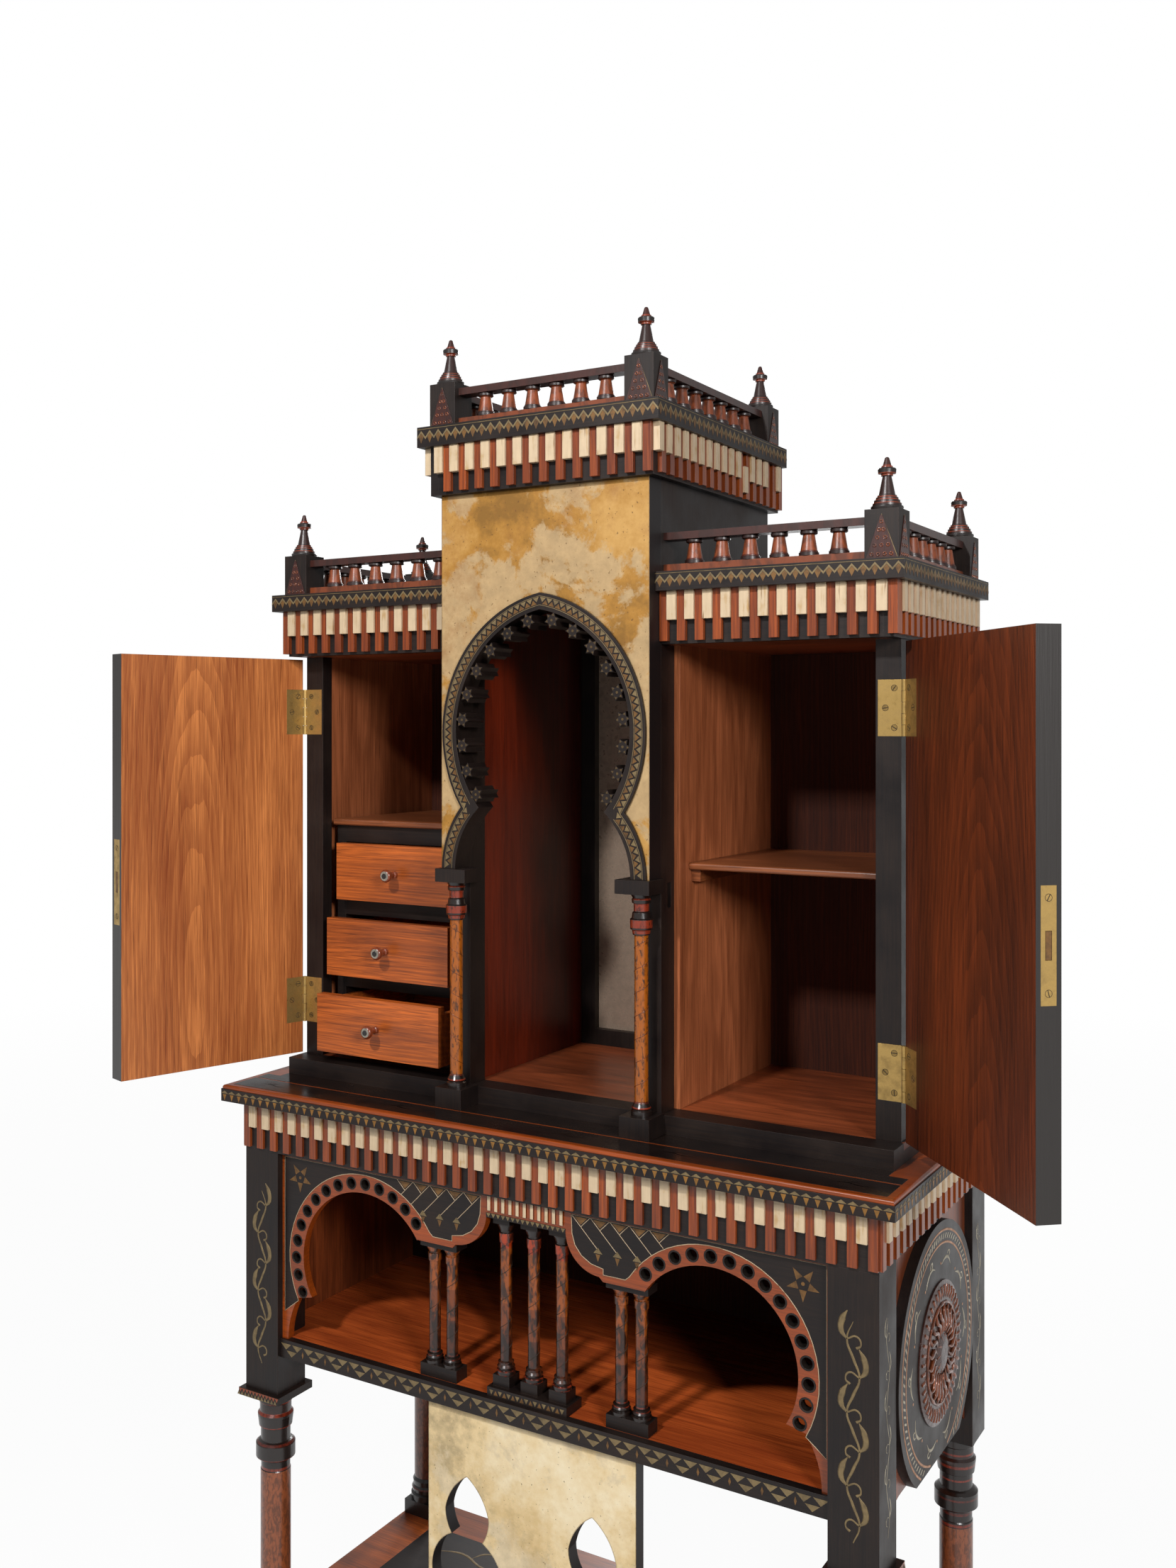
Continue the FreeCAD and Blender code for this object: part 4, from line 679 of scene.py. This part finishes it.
class CABINET_OT_table_inlay(bpy.types.Operator):
    """Inlay triangles and darts on the table's edge, and veneer its top in black panels"""
    bl_idname = "cabinet.table_inlay"
    bl_label = "Table inlay"

    def execute(self, context):
        pitch = context.scene.cabinet_sizes.table_pitch / mm
        half = pitch / 2
        triangle = tile([(-half, -6.3), (half, -6.3), (0, -2.3)], "pewter")
        dart = tile([(-3.2, -7.4), (3.2, -7.4), (0, -15.8)], "gold")
        x0, x1, y0, y1, z0, z1 = extent("table_edge")
        places = row("front", x0, x1, y0, z1, pitch) + both(row("right", y0, y1, x1, z1, pitch))
        set_out("table_edge_inlay", (triangle, places), (dart, places))
        x0, x1, y0, y1, z0, z1 = extent("table_top")
        end = x1 - 10.5
        front, string, behind = y0 + 10.0, y0 + 55.0, y0 + 58.5
        plinth_x, plinth_y = extent("plinth")[1], extent("plinth")[2]
        top = [facing("top", 0, 0, z1)]
        panel = tile([(-end, front), (end, front), (end, string), (-end, string)], "polished black")
        rear = behind + 23.0
        band = tile([(-end, behind), (end, behind), (end, rear), (plinth_x, rear), (plinth_x, plinth_y),
                     (-plinth_x, plinth_y), (-plinth_x, rear), (-end, rear)], "polished black")
        set_out("table_top_veneer", (panel, top), (band, top), slot="ebonised_wood")
        spray = stroke([(-24, 0), (-8, 2.2), (8, -2.2), (24, 0)], [0.6, 3.0, 2.6, 0.5], "pewter")
        leaf = stroke([(-9, 3), (-3, 7), (4, 8)], [0.6, 2.8, 0.5], "copper")
        spots = [facing("top", x, (front + string) / 2, z1) for x in (-405, -190, 60, 205, 415)]
        set_out("table_top_sprays", (spray, spots), (leaf, spots))
        return {"FINISHED"}


class CABINET_OT_rail_inlay(bpy.types.Operator):
    """Inlay triangles and lozenges on the bottom rail and small triangles on the columns' slab"""
    bl_idname = "cabinet.rail_inlay"
    bl_label = "Rail inlay"

    def execute(self, context):
        x0, x1, y0, y1, z0, z1 = extent("bottom_rail")
        unit = 38.85
        w = unit / 2
        outer = tile([(-w + 0.9, 7.7), (-1.0, 7.7), (-w / 2, -0.3)], "pewter")
        inner = tile([(1.0, 7.7), (w - 0.9, 7.7), (w / 2, -0.3)], "pewter")
        under = tile([(-w / 2 + 0.9, -1.2), (w / 2 - 0.9, -1.2), (0, -8.8)], "pewter")
        lozenge = tile([(w - 1.7, -2.0), (w, 3.0), (w + 1.7, -2.0), (w, -7.0)], "copper")
        places = row("front", x0, x1, y0, (z0 + z1) / 2, unit)
        set_out("bottom_rail_inlay", (outer, places), (inner, places), (under, places),
                (lozenge, places[:-1]))
        x0, x1, y0, y1, z0, z1 = extent("leg_plates")
        size, pitch = 71.0, 5.92
        red_tooth = tile([(-3.0, 4.6), (3.0, 4.6), (0, -1.0)], "orange")
        grey_tooth = tile([(0.4, -4.6), (5.5, -4.6), (2.96, 1.0)], "pewter")
        places = both(row("front", x1 - size, x1, y0, (z0 + z1) / 2, pitch)
                      + row("right", y0, y0 + size, x1, (z0 + z1) / 2, pitch))
        set_out("leg_plate_inlay", (red_tooth, places), (grey_tooth, places))
        x0, x1, y0, y1, z0, z1 = extent("arcade_blocks")
        slab_x, slab_top, slab_pitch = 57.0, z0 + 12.0, 12.6
        tooth = tile([(-3.0, -3.0), (3.0, -3.0), (0, -9.0)], "pewter")
        ember = tile([(3.3, -9.0), (9.3, -9.0), (6.3, -3.0)], "copper")
        places = row("front", -slab_x, slab_x, y0, slab_top, slab_pitch)
        set_out("slab_inlay", (tooth, places), (ember, places[:-1]))
        return {"FINISHED"}


class CABINET_OT_fascia_inlay(bpy.types.Operator):
    """Lay the black spandrels on the arched fascia, with their strings, stars, zigzags and arrows"""
    bl_idname = "cabinet.fascia_inlay"
    bl_label = "Fascia inlay"

    def execute(self, context):
        x0, x1, front, y1, z0, z1 = extent("arch_fascia")
        sizes = context.scene.cabinet_sizes
        face = front - sizes.inlay_proud / mm
        ring, cup_ring = 127.0, 115.0
        top, post_side, middle_side = z1 - 5.0, x1 - 4.5, 65.0
        field = [(middle_side, top), (post_side, top), (post_side, 587.0), (371.0, 597.0)]
        field += arc(arch_x, arch_z, ring, -28.5, 146.0, 30)
        field += [(138.0, 732.5), (108.5, 732.5), (108.5, 739.5), (92.0, 742.5), (79.0, 750.0), (70.0, 761.0),
                  (66.0, 774.0)]
        set_out("fascia_spandrels", (tile(field, "level black"), both(facing("front", 0, front, 0))),
                slot="ebonised_wood")
        raised = both(facing("front", 0, face, 0))
        string = stroke(field, sizes.string_width / mm, "bone", smooth=False, closed=True)
        peaks = [middle_side + 26 * i for i in range(6)]
        reach = [36.5, 36.5, 36.5, 29.0, 18.5]
        lines = [stroke([(x, top), (x + far, top - far)], 1.0, "bone", smooth=False)
                 for x, far in zip(peaks, reach)]
        lines += [stroke([(x, top), (x - 13, top - 13)], 1.0, "bone", smooth=False) for x in peaks[1:]]
        set_out("fascia_strings", (string, raised), *[(line, raised) for line in lines], slot="bone")
        hanging = tile([(4, -1.5), (22, -1.5), (13, -10.5)], "copper")
        head = tile([(-6, -4), (6, -4), (0, 3)], "pewter")
        dart = tile([(-3.2, -5), (3.2, -5), (0, -14)], "copper")
        ray = tile([(-4.4, -13), (4.4, -13), (0, 0)], "copper")
        tips = both([facing("front", x + far, face, top - far) for x, far in zip(peaks[:3], reach)])
        star_x, star_z = 357.0, 772.0
        star = both(around("front", star_x, face, star_z, 20.0, every(5, -90)))
        dot = tile(arc(0, 0, 2.2, 0, 315, 8), "copper")
        cup = stroke(arc(0, 0, 7.3, 0, 342, 20), 2.4, "upright black", closed=True, steps=2)
        angles = [-24.5 + 161.5 * i / 14 for i in range(15)]
        cups = both(around("front", arch_x, front, arch_z, cup_ring, angles))
        set_out("fascia_metal", (hanging, both([facing("front", x, face, top) for x in peaks[:5]])),
                (head, tips), (dart, tips), (ray, star), (dot, both(facing("front", star_x, face, star_z))),
                (cup, cups))
        return {"FINISHED"}


class CABINET_OT_fret_inlay(bpy.types.Operator):
    """Set the bone strips, red slips and toothed black rail on the middle fret"""
    bl_idname = "cabinet.fret_inlay"
    bl_label = "Fret"

    def execute(self, context):
        x0, x1, y0, y1, z0, z1 = extent("centre_fret")
        ground = y0 + 2.0
        strips = 11
        pitch = (x1 - x0) / strips
        cap = tile([(-2.2, 0.3), (2.2, 0.3), (2.2, 20.5), (-2.2, 20.5)], "bone", proud=1.5)
        slip = tile([(2.6, 0.3), (7.7, 0.3), (7.7, 20.5), (2.6, 20.5)], "red", proud=5.0)
        caps = row("front", x0, x1, y0, z0 + 9.0, pitch)
        slips = row("front", x0, x1, ground, z0 + 9.0, pitch)
        set_out("fret_strips", (cap, caps), (slip, slips[:-1]), slot="bone")
        rail = tile([(x0, -6.0), (x1, -6.0), (x1, 0.0), (x0, 0.0)], "level black", proud=2.0)
        set_out("fret_rail", (rail, [facing("front", 0, ground, z0 + 6.0)]), slot="ebonised_wood")
        tooth = tile([(-3.0, 0.6), (3.0, 0.6), (0, -4.4)], "pewter", proud=3.0)
        set_out("fret_teeth", (tooth, row("front", x0, x1, ground, z0 + 5.0, 7.2)))
        return {"FINISHED"}


class CABINET_OT_post_vines(bpy.types.Operator):
    """Inlay a leafy vine on the posts' fronts and a thin one on their outer sides"""
    bl_idname = "cabinet.post_vines"
    bl_label = "Post vines"

    def vine(self, height, sway, thick, material):
        """The stem and leaves of one vine that climbs from the foot of its place."""
        count = 13
        stem = [(sway * math.sin(math.pi * i / 2), height * i / (count - 1)) for i in range(count)]
        thin = [thick * (0.35 if i % 2 else 0.55) for i in range(count)]
        parts = [stroke(stem, [thick * 0.2] + thin[1:-1] + [thick * 0.1], material)]
        leaf = [(0, 0, 0.3), (0.9, 1.1, 1), (0.7, 3.0, 1.1), (-0.1, 4.4, 0.15)]
        curl = [(0, 0, 0.3), (-1.6, 0.6, 0.35), (-2.2, -0.6, 0.3), (-1.5, -1.2, 0.5)]
        for i in range(1, count - 1, 2):
            side = sway if i % 4 == 1 else -sway
            x, z = stem[i]
            for shape in (leaf, curl):
                parts.append(stroke([(x + side * out, z + sway * up) for out, up, share in shape],
                                    [thick * share for out, up, share in shape], material))
        return parts

    def execute(self, context):
        x0, x1, y0, y1, z0, z1 = extent("case_posts")
        half, foot, height = 28.5, z0 + 38.0, 236.0
        fronts = both(facing("front", x1 - half, y0, foot))
        bold = self.vine(height, 7.0, 6.6, "pewter")
        set_out("post_vines", *[(part, fronts) for part in bold])
        sides = both([facing("right", x1, y0 + half, foot), facing("right", x1, y1 - half, foot)])
        # The side vines are in the lightened pewter: painted sheen of a grazing reflection.
        fine = self.vine(height, 5.0, 2.2, "side_pewter_painted_sheen")
        set_out("post_side_vines", *[(part, sides) for part in fine])
        return {"FINISHED"}


class CABINET_OT_disc_inlay(bpy.types.Operator):
    """Inlay the rings, the twist and the sprays on the side discs, and emboss their bosses"""
    bl_idname = "cabinet.disc_inlay"
    bl_label = "Discs"

    def execute(self, context):
        x0, x1, y0, y1, z0, z1 = extent("disc_bosses")
        face, level = extent("side_discs")[1], (z0 + z1) / 2
        drop = level - extent("side_discs")[4] - 3.5
        middle = both(facing("right", face, 0, level))
        # Rings, twist and sprays are in the lightened copper and pewter: painted sheen of a grazing reflection.
        copper_rings = []
        for radius in (139.0, 124.5):
            end = math.degrees(math.asin(min(1.0, drop / radius)))
            points = arc(0, 0, radius, -end, 180 + end, 60)
            copper_rings.append(stroke(points, 2.8, "side_copper_painted_sheen", steps=2))
        dash = tile([(-3.6, -3.2), (-0.6, -3.2), (3.6, 3.2), (0.6, 3.2)], "side_pewter_painted_sheen")
        end = math.degrees(math.asin(drop / 134.0))
        angles = [angle for angle in every(92) if angle < 180 + end or angle > 360 - end]
        twist = both(around("right", face, 0, level, 131.8, angles))
        leaf = stroke([(-20, -5), (-8, 3), (6, 4), (17, -3)], [0.9, 4.0, 3.6, 0.6], "side_pewter_painted_sheen")
        hook = stroke([(4, 4), (10, 10), (4, 12), (0, 8)], [0.9, 2.6, 2.2, 1.4], "side_pewter_painted_sheen")
        berry = tile(arc(-24, -4, 1.7, 0, 315, 8), "side_copper_painted_sheen")
        sprays = both(around("right", face, 0, level, 103.0, every(10)))
        set_out("disc_inlay", *[(ring, middle) for ring in copper_rings], (dash, twist), (leaf, sprays),
                (hook, sprays), (berry, sprays))
        gadroon = stroke([(0, -8), (0, 0), (0, 7)], [2.4, 6.4, 4.4], "boss", flat=False, steps=3)
        petal = stroke([(0, -15), (3.5, -3), (-3.5, 9), (0, 17)], [1.6, 5.2, 5.0, 1.2], "boss", flat=False,
                       steps=4)
        small = stroke([(0, -9), (2.5, -1), (0, 8)], [1.4, 4.4, 1.0], "boss", flat=False, steps=3)
        bead = stroke(arc(0, 0, 57.0, 0, 350, 36), [2.6, 4.6] * 18, "boss", closed=True, flat=False, steps=2)
        rings = [(motif, both(around("right", x1 - back, 0, level, radius, every(count))))
                 for motif, back, radius, count in ((gadroon, 4.5, 70.0, 44), (petal, 2.5, 39.0, 22),
                                                    (small, 2.0, 14.0, 10))]
        set_out("boss_relief", *rings, (bead, both(facing("right", x1 - 3.5, 0, level))))
        return {"FINISHED"}


class CABINET_OT_arch_inlay(bpy.types.Operator):
    """Inlay two rows of triangles round the horseshoe arch, and star rays on its prisms"""
    bl_idname = "cabinet.arch_inlay"
    bl_label = "Arch inlay"

    def execute(self, context):
        face = extent("arch_frame")[2]
        centre, spring, ring = 30.7, 1373.0, 168.2
        leg_centre, foot, leg_ring = 27.3, 1198.0, 110.5
        star_ring, stars, first, last = 148.0, 9, 71.0, -31.9
        outer = tile([(-4.3, 4.3), (4.3, 4.3), (0, -1.6)], "pewter")
        inner = tile([(-4.3, -4.3), (4.3, -4.3), (0, 1.6)], "copper")
        step = 3.25
        upper = [78.0 - step * i for i in range(35)]
        lower = [3.0 + 4.9 * i for i in range(9)]
        outers = both(around("front", -centre, face, spring, ring, upper)
                      + around("front", leg_centre, face, foot, leg_ring, lower))
        inners = both(around("front", -centre, face, spring, ring, [a - step / 2 for a in upper[:-1]])
                      + around("front", leg_centre, face, foot, leg_ring, [a + 2.45 for a in lower[:-1]]))
        here = both(facing("front", 0, face, 0))
        lines = [stroke(arc(-centre, spring, radius, 80.0 - near, -34.0, 24), 0.9, "pewter", steps=2)
                 for radius, near in ((173.6, 0.2), (162.6, 0.9))]
        lines += [stroke(arc(leg_centre, foot, radius, 0.5, 43.0, 10), 0.9, "pewter", steps=2)
                  for radius in (116.0, 105.0)]
        set_out("arch_inlay", (outer, outers), (inner, inners), *[(line, here) for line in lines])
        ray = tile([(-1.7, -3.0), (1.7, -3.0), (0, 0)], "dim")
        hub = tile(arc(0, 0, 1.8, 0, 300, 6), "dim")
        rays, hubs = [], []
        for i, (x, z) in enumerate(arc(-centre, spring, star_ring, first, last, stars)):
            angle = first + (last - first) * i / (stars - 1)
            rays += around("front", x, face, z, 8.8, every(6, angle))
            hubs.append(facing("front", x, face, z, angle))
        set_out("star_inlay", (ray, both(rays)), (hub, both(hubs)))
        return {"FINISHED"}


class CABINET_OT_gallery_panels(bpy.types.Operator):
    """Fix a stamped triangular plaque to each face of the gallery's posts"""
    bl_idname = "cabinet.gallery_panels"
    bl_label = "Gallery plaques"

    def execute(self, context):
        half = 19.45
        plaque = tile([(-17.5, 1.5), (17.5, 1.5), (1.0, 49), (-1.0, 49)], "plaque", proud=4.0)
        ring = stroke(arc(0, 0, 1.8, 0, 300, 6), 1.2, "boss", closed=True, flat=False, steps=2)
        rim = stroke([(0, 50), (18, 1.5)], 1.0, "pewter", smooth=False, flat=False)
        studs = [(5.5, 4, 7.4), (15.5, 3, 7.6), (24, 2, 9.0), (32.5, 2, 5.0), (41.5, 1, 0)]
        faces, spots = [], []
        for x, front, rear, base in ((422.55, -113.55, 174.55, 1567.0), (141.95, -153.45, 194.05, 1768.0)):
            faces += [("front", x, front - half, base), ("right", x + half, front, base),
                      ("right", x + half, rear, base), ("back", x, rear + half, base)]
        for side, x, y, z in faces:
            for level, count, pitch in studs:
                for i in range(count):
                    shift = pitch * (i - (count - 1) / 2)
                    spots.append(facing(side, x, y, z) @ Matrix.Translation((shift * mm, level * mm, 0.8 * mm)))
        places = both([facing(*face) for face in faces])
        set_out("gallery_plaques", (plaque, places), (rim, places), (ring, both(spots)))
        return {"FINISHED"}


class CABINET_OT_column_wires(bpy.types.Operator):
    """Wind a thin wire up each column"""
    bl_idname = "cabinet.column_wires"
    bl_label = "Column wires"

    def helix(self, radius, low, high, pitch, start):
        """Points that climb round an upright axis."""
        count = round((high - low) / pitch * 10)
        return [(radius * math.cos(start + i * math.pi / 5), radius * math.sin(start + i * math.pi / 5),
                 low + (high - low) * i / count) for i in range(count + 1)]

    def execute(self, context):
        climb = self.helix(8.45, 932.0, 1130.0, 28.0, 0.0)
        wire = stroke(climb, 0.8, "boss", flat=False, steps=2)
        tower = both(facing("top", 134.4, -151.5, 0))
        climb = self.helix(7.5, 583.5, 737.0, 33.0, 1.0)
        thin = stroke(climb, 0.7, "slots", flat=False, steps=2)
        arcade = [facing("top", x, -179, 0) for x in (-149, -122, -40.5, 0, 40.5, 122, 149)]
        set_out("column_wires", (wire, tower), (thin, arcade))
        return {"FINISHED"}


class CABINET_OT_platform_strokes(bpy.types.Operator):
    """Inlay a few long sprays on the platform's black panel"""
    bl_idname = "cabinet.platform_strokes"
    bl_label = "Platform sprays"

    def execute(self, context):
        x0, x1, y0, y1, z0, z1 = extent("platform_panel")
        spray = stroke([(-70, -4), (-30, 10), (20, -6), (70, 6)], [1.0, 5.0, 4.0, 0.8], "pewter")
        leaf = stroke([(-10, 6), (0, 26), (22, 34)], [1.0, 5.0, 0.8], "pewter")
        spots = [facing("top", x, y, z1) for x in (-270, -90, 90, 270) for y in (-95, 95)]
        set_out("platform_sprays", (spray, spots), (leaf, spots))
        return {"FINISHED"}


class CABINET_OT_stage(bpy.types.Operator):
    """Lay the floor, light it and place the camera"""
    bl_idname = "cabinet.stage"
    bl_label = "Stage"

    def execute(self, context):
        self.lay_floor()
        self.light_world(context.scene)
        self.add_lamp("key lamp", (-0.1, -2.2, 2.75), (0.0, -0.1, 0.95), 0.18, 48)
        self.add_lamp("right lamp", (2.55, -2.2, 2.2), (0.0, 0.0, 1.1), 0.7, 78)
        self.add_lamp("back lamp", (-0.9, 3.2, 2.3), (0.0, 0.2, 0.9), 1.2, 70)
        self.place_camera(context.scene)
        return {"FINISHED"}

    def lay_floor(self):
        """A wide pale floor that looks white to the camera and keeps the cabinet's shadow."""
        bpy.ops.mesh.primitive_plane_add(size=60)
        floor = bpy.context.object
        floor.name = "floor"
        material = bpy.data.materials.new("pale floor")
        node = self.empty_tree(material)
        paths = node("LightPath").outputs
        away = node("VectorMath", {0: node("TexCoord").outputs["Object"]}, operation="LENGTH")
        fade = node("MapRange", {0: away, 1: 1.5, 2: 6.0, 3: 0.94})
        seen = node("Math", {0: paths["Is Camera Ray"], 1: fade}, operation="MULTIPLY")
        share = node("Math", {0: paths["Is Glossy Ray"], 1: 0.8, 2: seen}, operation="MULTIPLY_ADD")
        pale, white = node("BsdfDiffuse", {"Color": grey(0.86)}), node("Emission", {"Color": grey(1.0)})
        node("OutputMaterial", {"Surface": node("MixShader", {0: share, 1: pale, 2: white})})
        floor.data.materials.append(material)

    def light_world(self, scene):
        """A dim even sky for the cabinet, and plain white for the camera."""
        scene.world = bpy.data.worlds.new("studio")
        node = self.empty_tree(scene.world)
        paths = node("LightPath").outputs
        glow = node("MapRange", {0: paths["Is Glossy Ray"], 3: 0.04, 4: 0.45})
        sky = node("Background", {"Color": grey(1.0), "Strength": glow})
        white = node("Background", {"Color": grey(1.0)})
        node("OutputWorld", {"Surface": node("MixShader", {0: paths["Is Camera Ray"], 1: sky, 2: white})})

    def empty_tree(self, owner):
        """Empties the node tree of a material or a world, and gives back what adds nodes to it."""
        owner.use_nodes = True
        owner.node_tree.nodes.clear()
        return partial(add_node, owner.node_tree)

    def add_lamp(self, name, place, target, size, power):
        """A square soft lamp that looks at a point."""
        bpy.ops.object.light_add(type="AREA", location=place)
        lamp = bpy.context.object
        lamp.name = name
        lamp.data.size = size
        lamp.data.energy = power
        lamp.rotation_euler = (Vector(target) - Vector(place)).to_track_quat("-Z", "Y").to_euler()

    def place_camera(self, scene):
        """A level camera at eye height, right of the cabinet, with its lens shifted down."""
        long_side, focal, sensor = 2212.0, 2095.8, 36.0
        middle, principal = (829.5, 1106.0), (711.1, 1026.8)
        bpy.ops.object.camera_add(location=(0.9543, -1.7449, 1.3799),
                                  rotation=(math.radians(90), 0, math.radians(32.51)))
        camera = bpy.context.object
        camera.data.sensor_width = sensor
        camera.data.lens = focal * sensor / long_side
        camera.data.shift_x = (middle[0] - principal[0]) / long_side
        camera.data.shift_y = (principal[1] - middle[1]) / long_side
        scene.camera = camera
        scene.view_settings.view_transform = "Standard"


class CABINET_PT_panel(bpy.types.Panel):
    """Steps that finish the cabinet"""
    bl_label = "Cabinet"
    bl_space_type = "VIEW_3D"
    bl_region_type = "UI"
    bl_category = "Cabinet"

    def draw(self, context):
        for step in steps:
            self.layout.operator(step.bl_idname)
        for group in (context.scene.cabinet_colours, context.scene.cabinet_sizes):
            for name in group.bl_rna.properties.keys():
                if name not in ("rna_type", "name"):
                    self.layout.prop(group, name)


steps = [CABINET_OT_dress_woods, CABINET_OT_dress_turnings, CABINET_OT_dress_metals, CABINET_OT_hinge_screws,
         CABINET_OT_cornice_inlay, CABINET_OT_table_inlay, CABINET_OT_rail_inlay, CABINET_OT_fascia_inlay,
         CABINET_OT_fret_inlay, CABINET_OT_post_vines, CABINET_OT_disc_inlay, CABINET_OT_arch_inlay,
         CABINET_OT_gallery_panels, CABINET_OT_column_wires, CABINET_OT_platform_strokes, CABINET_OT_stage]
classes = [CabinetColours, CabinetSizes, CABINET_PT_panel] + steps


def register():
    for kind in classes:
        bpy.utils.register_class(kind)
    bpy.types.Scene.cabinet_colours = PointerProperty(type=CabinetColours)
    bpy.types.Scene.cabinet_sizes = PointerProperty(type=CabinetSizes)


def unregister():
    del bpy.types.Scene.cabinet_sizes
    del bpy.types.Scene.cabinet_colours
    for kind in reversed(classes):
        bpy.utils.unregister_class(kind)


def main():
    register()
    for step in steps:
        group, name = step.bl_idname.split(".")
        getattr(getattr(bpy.ops, group), name)()


if __name__ == "__main__":
    main()
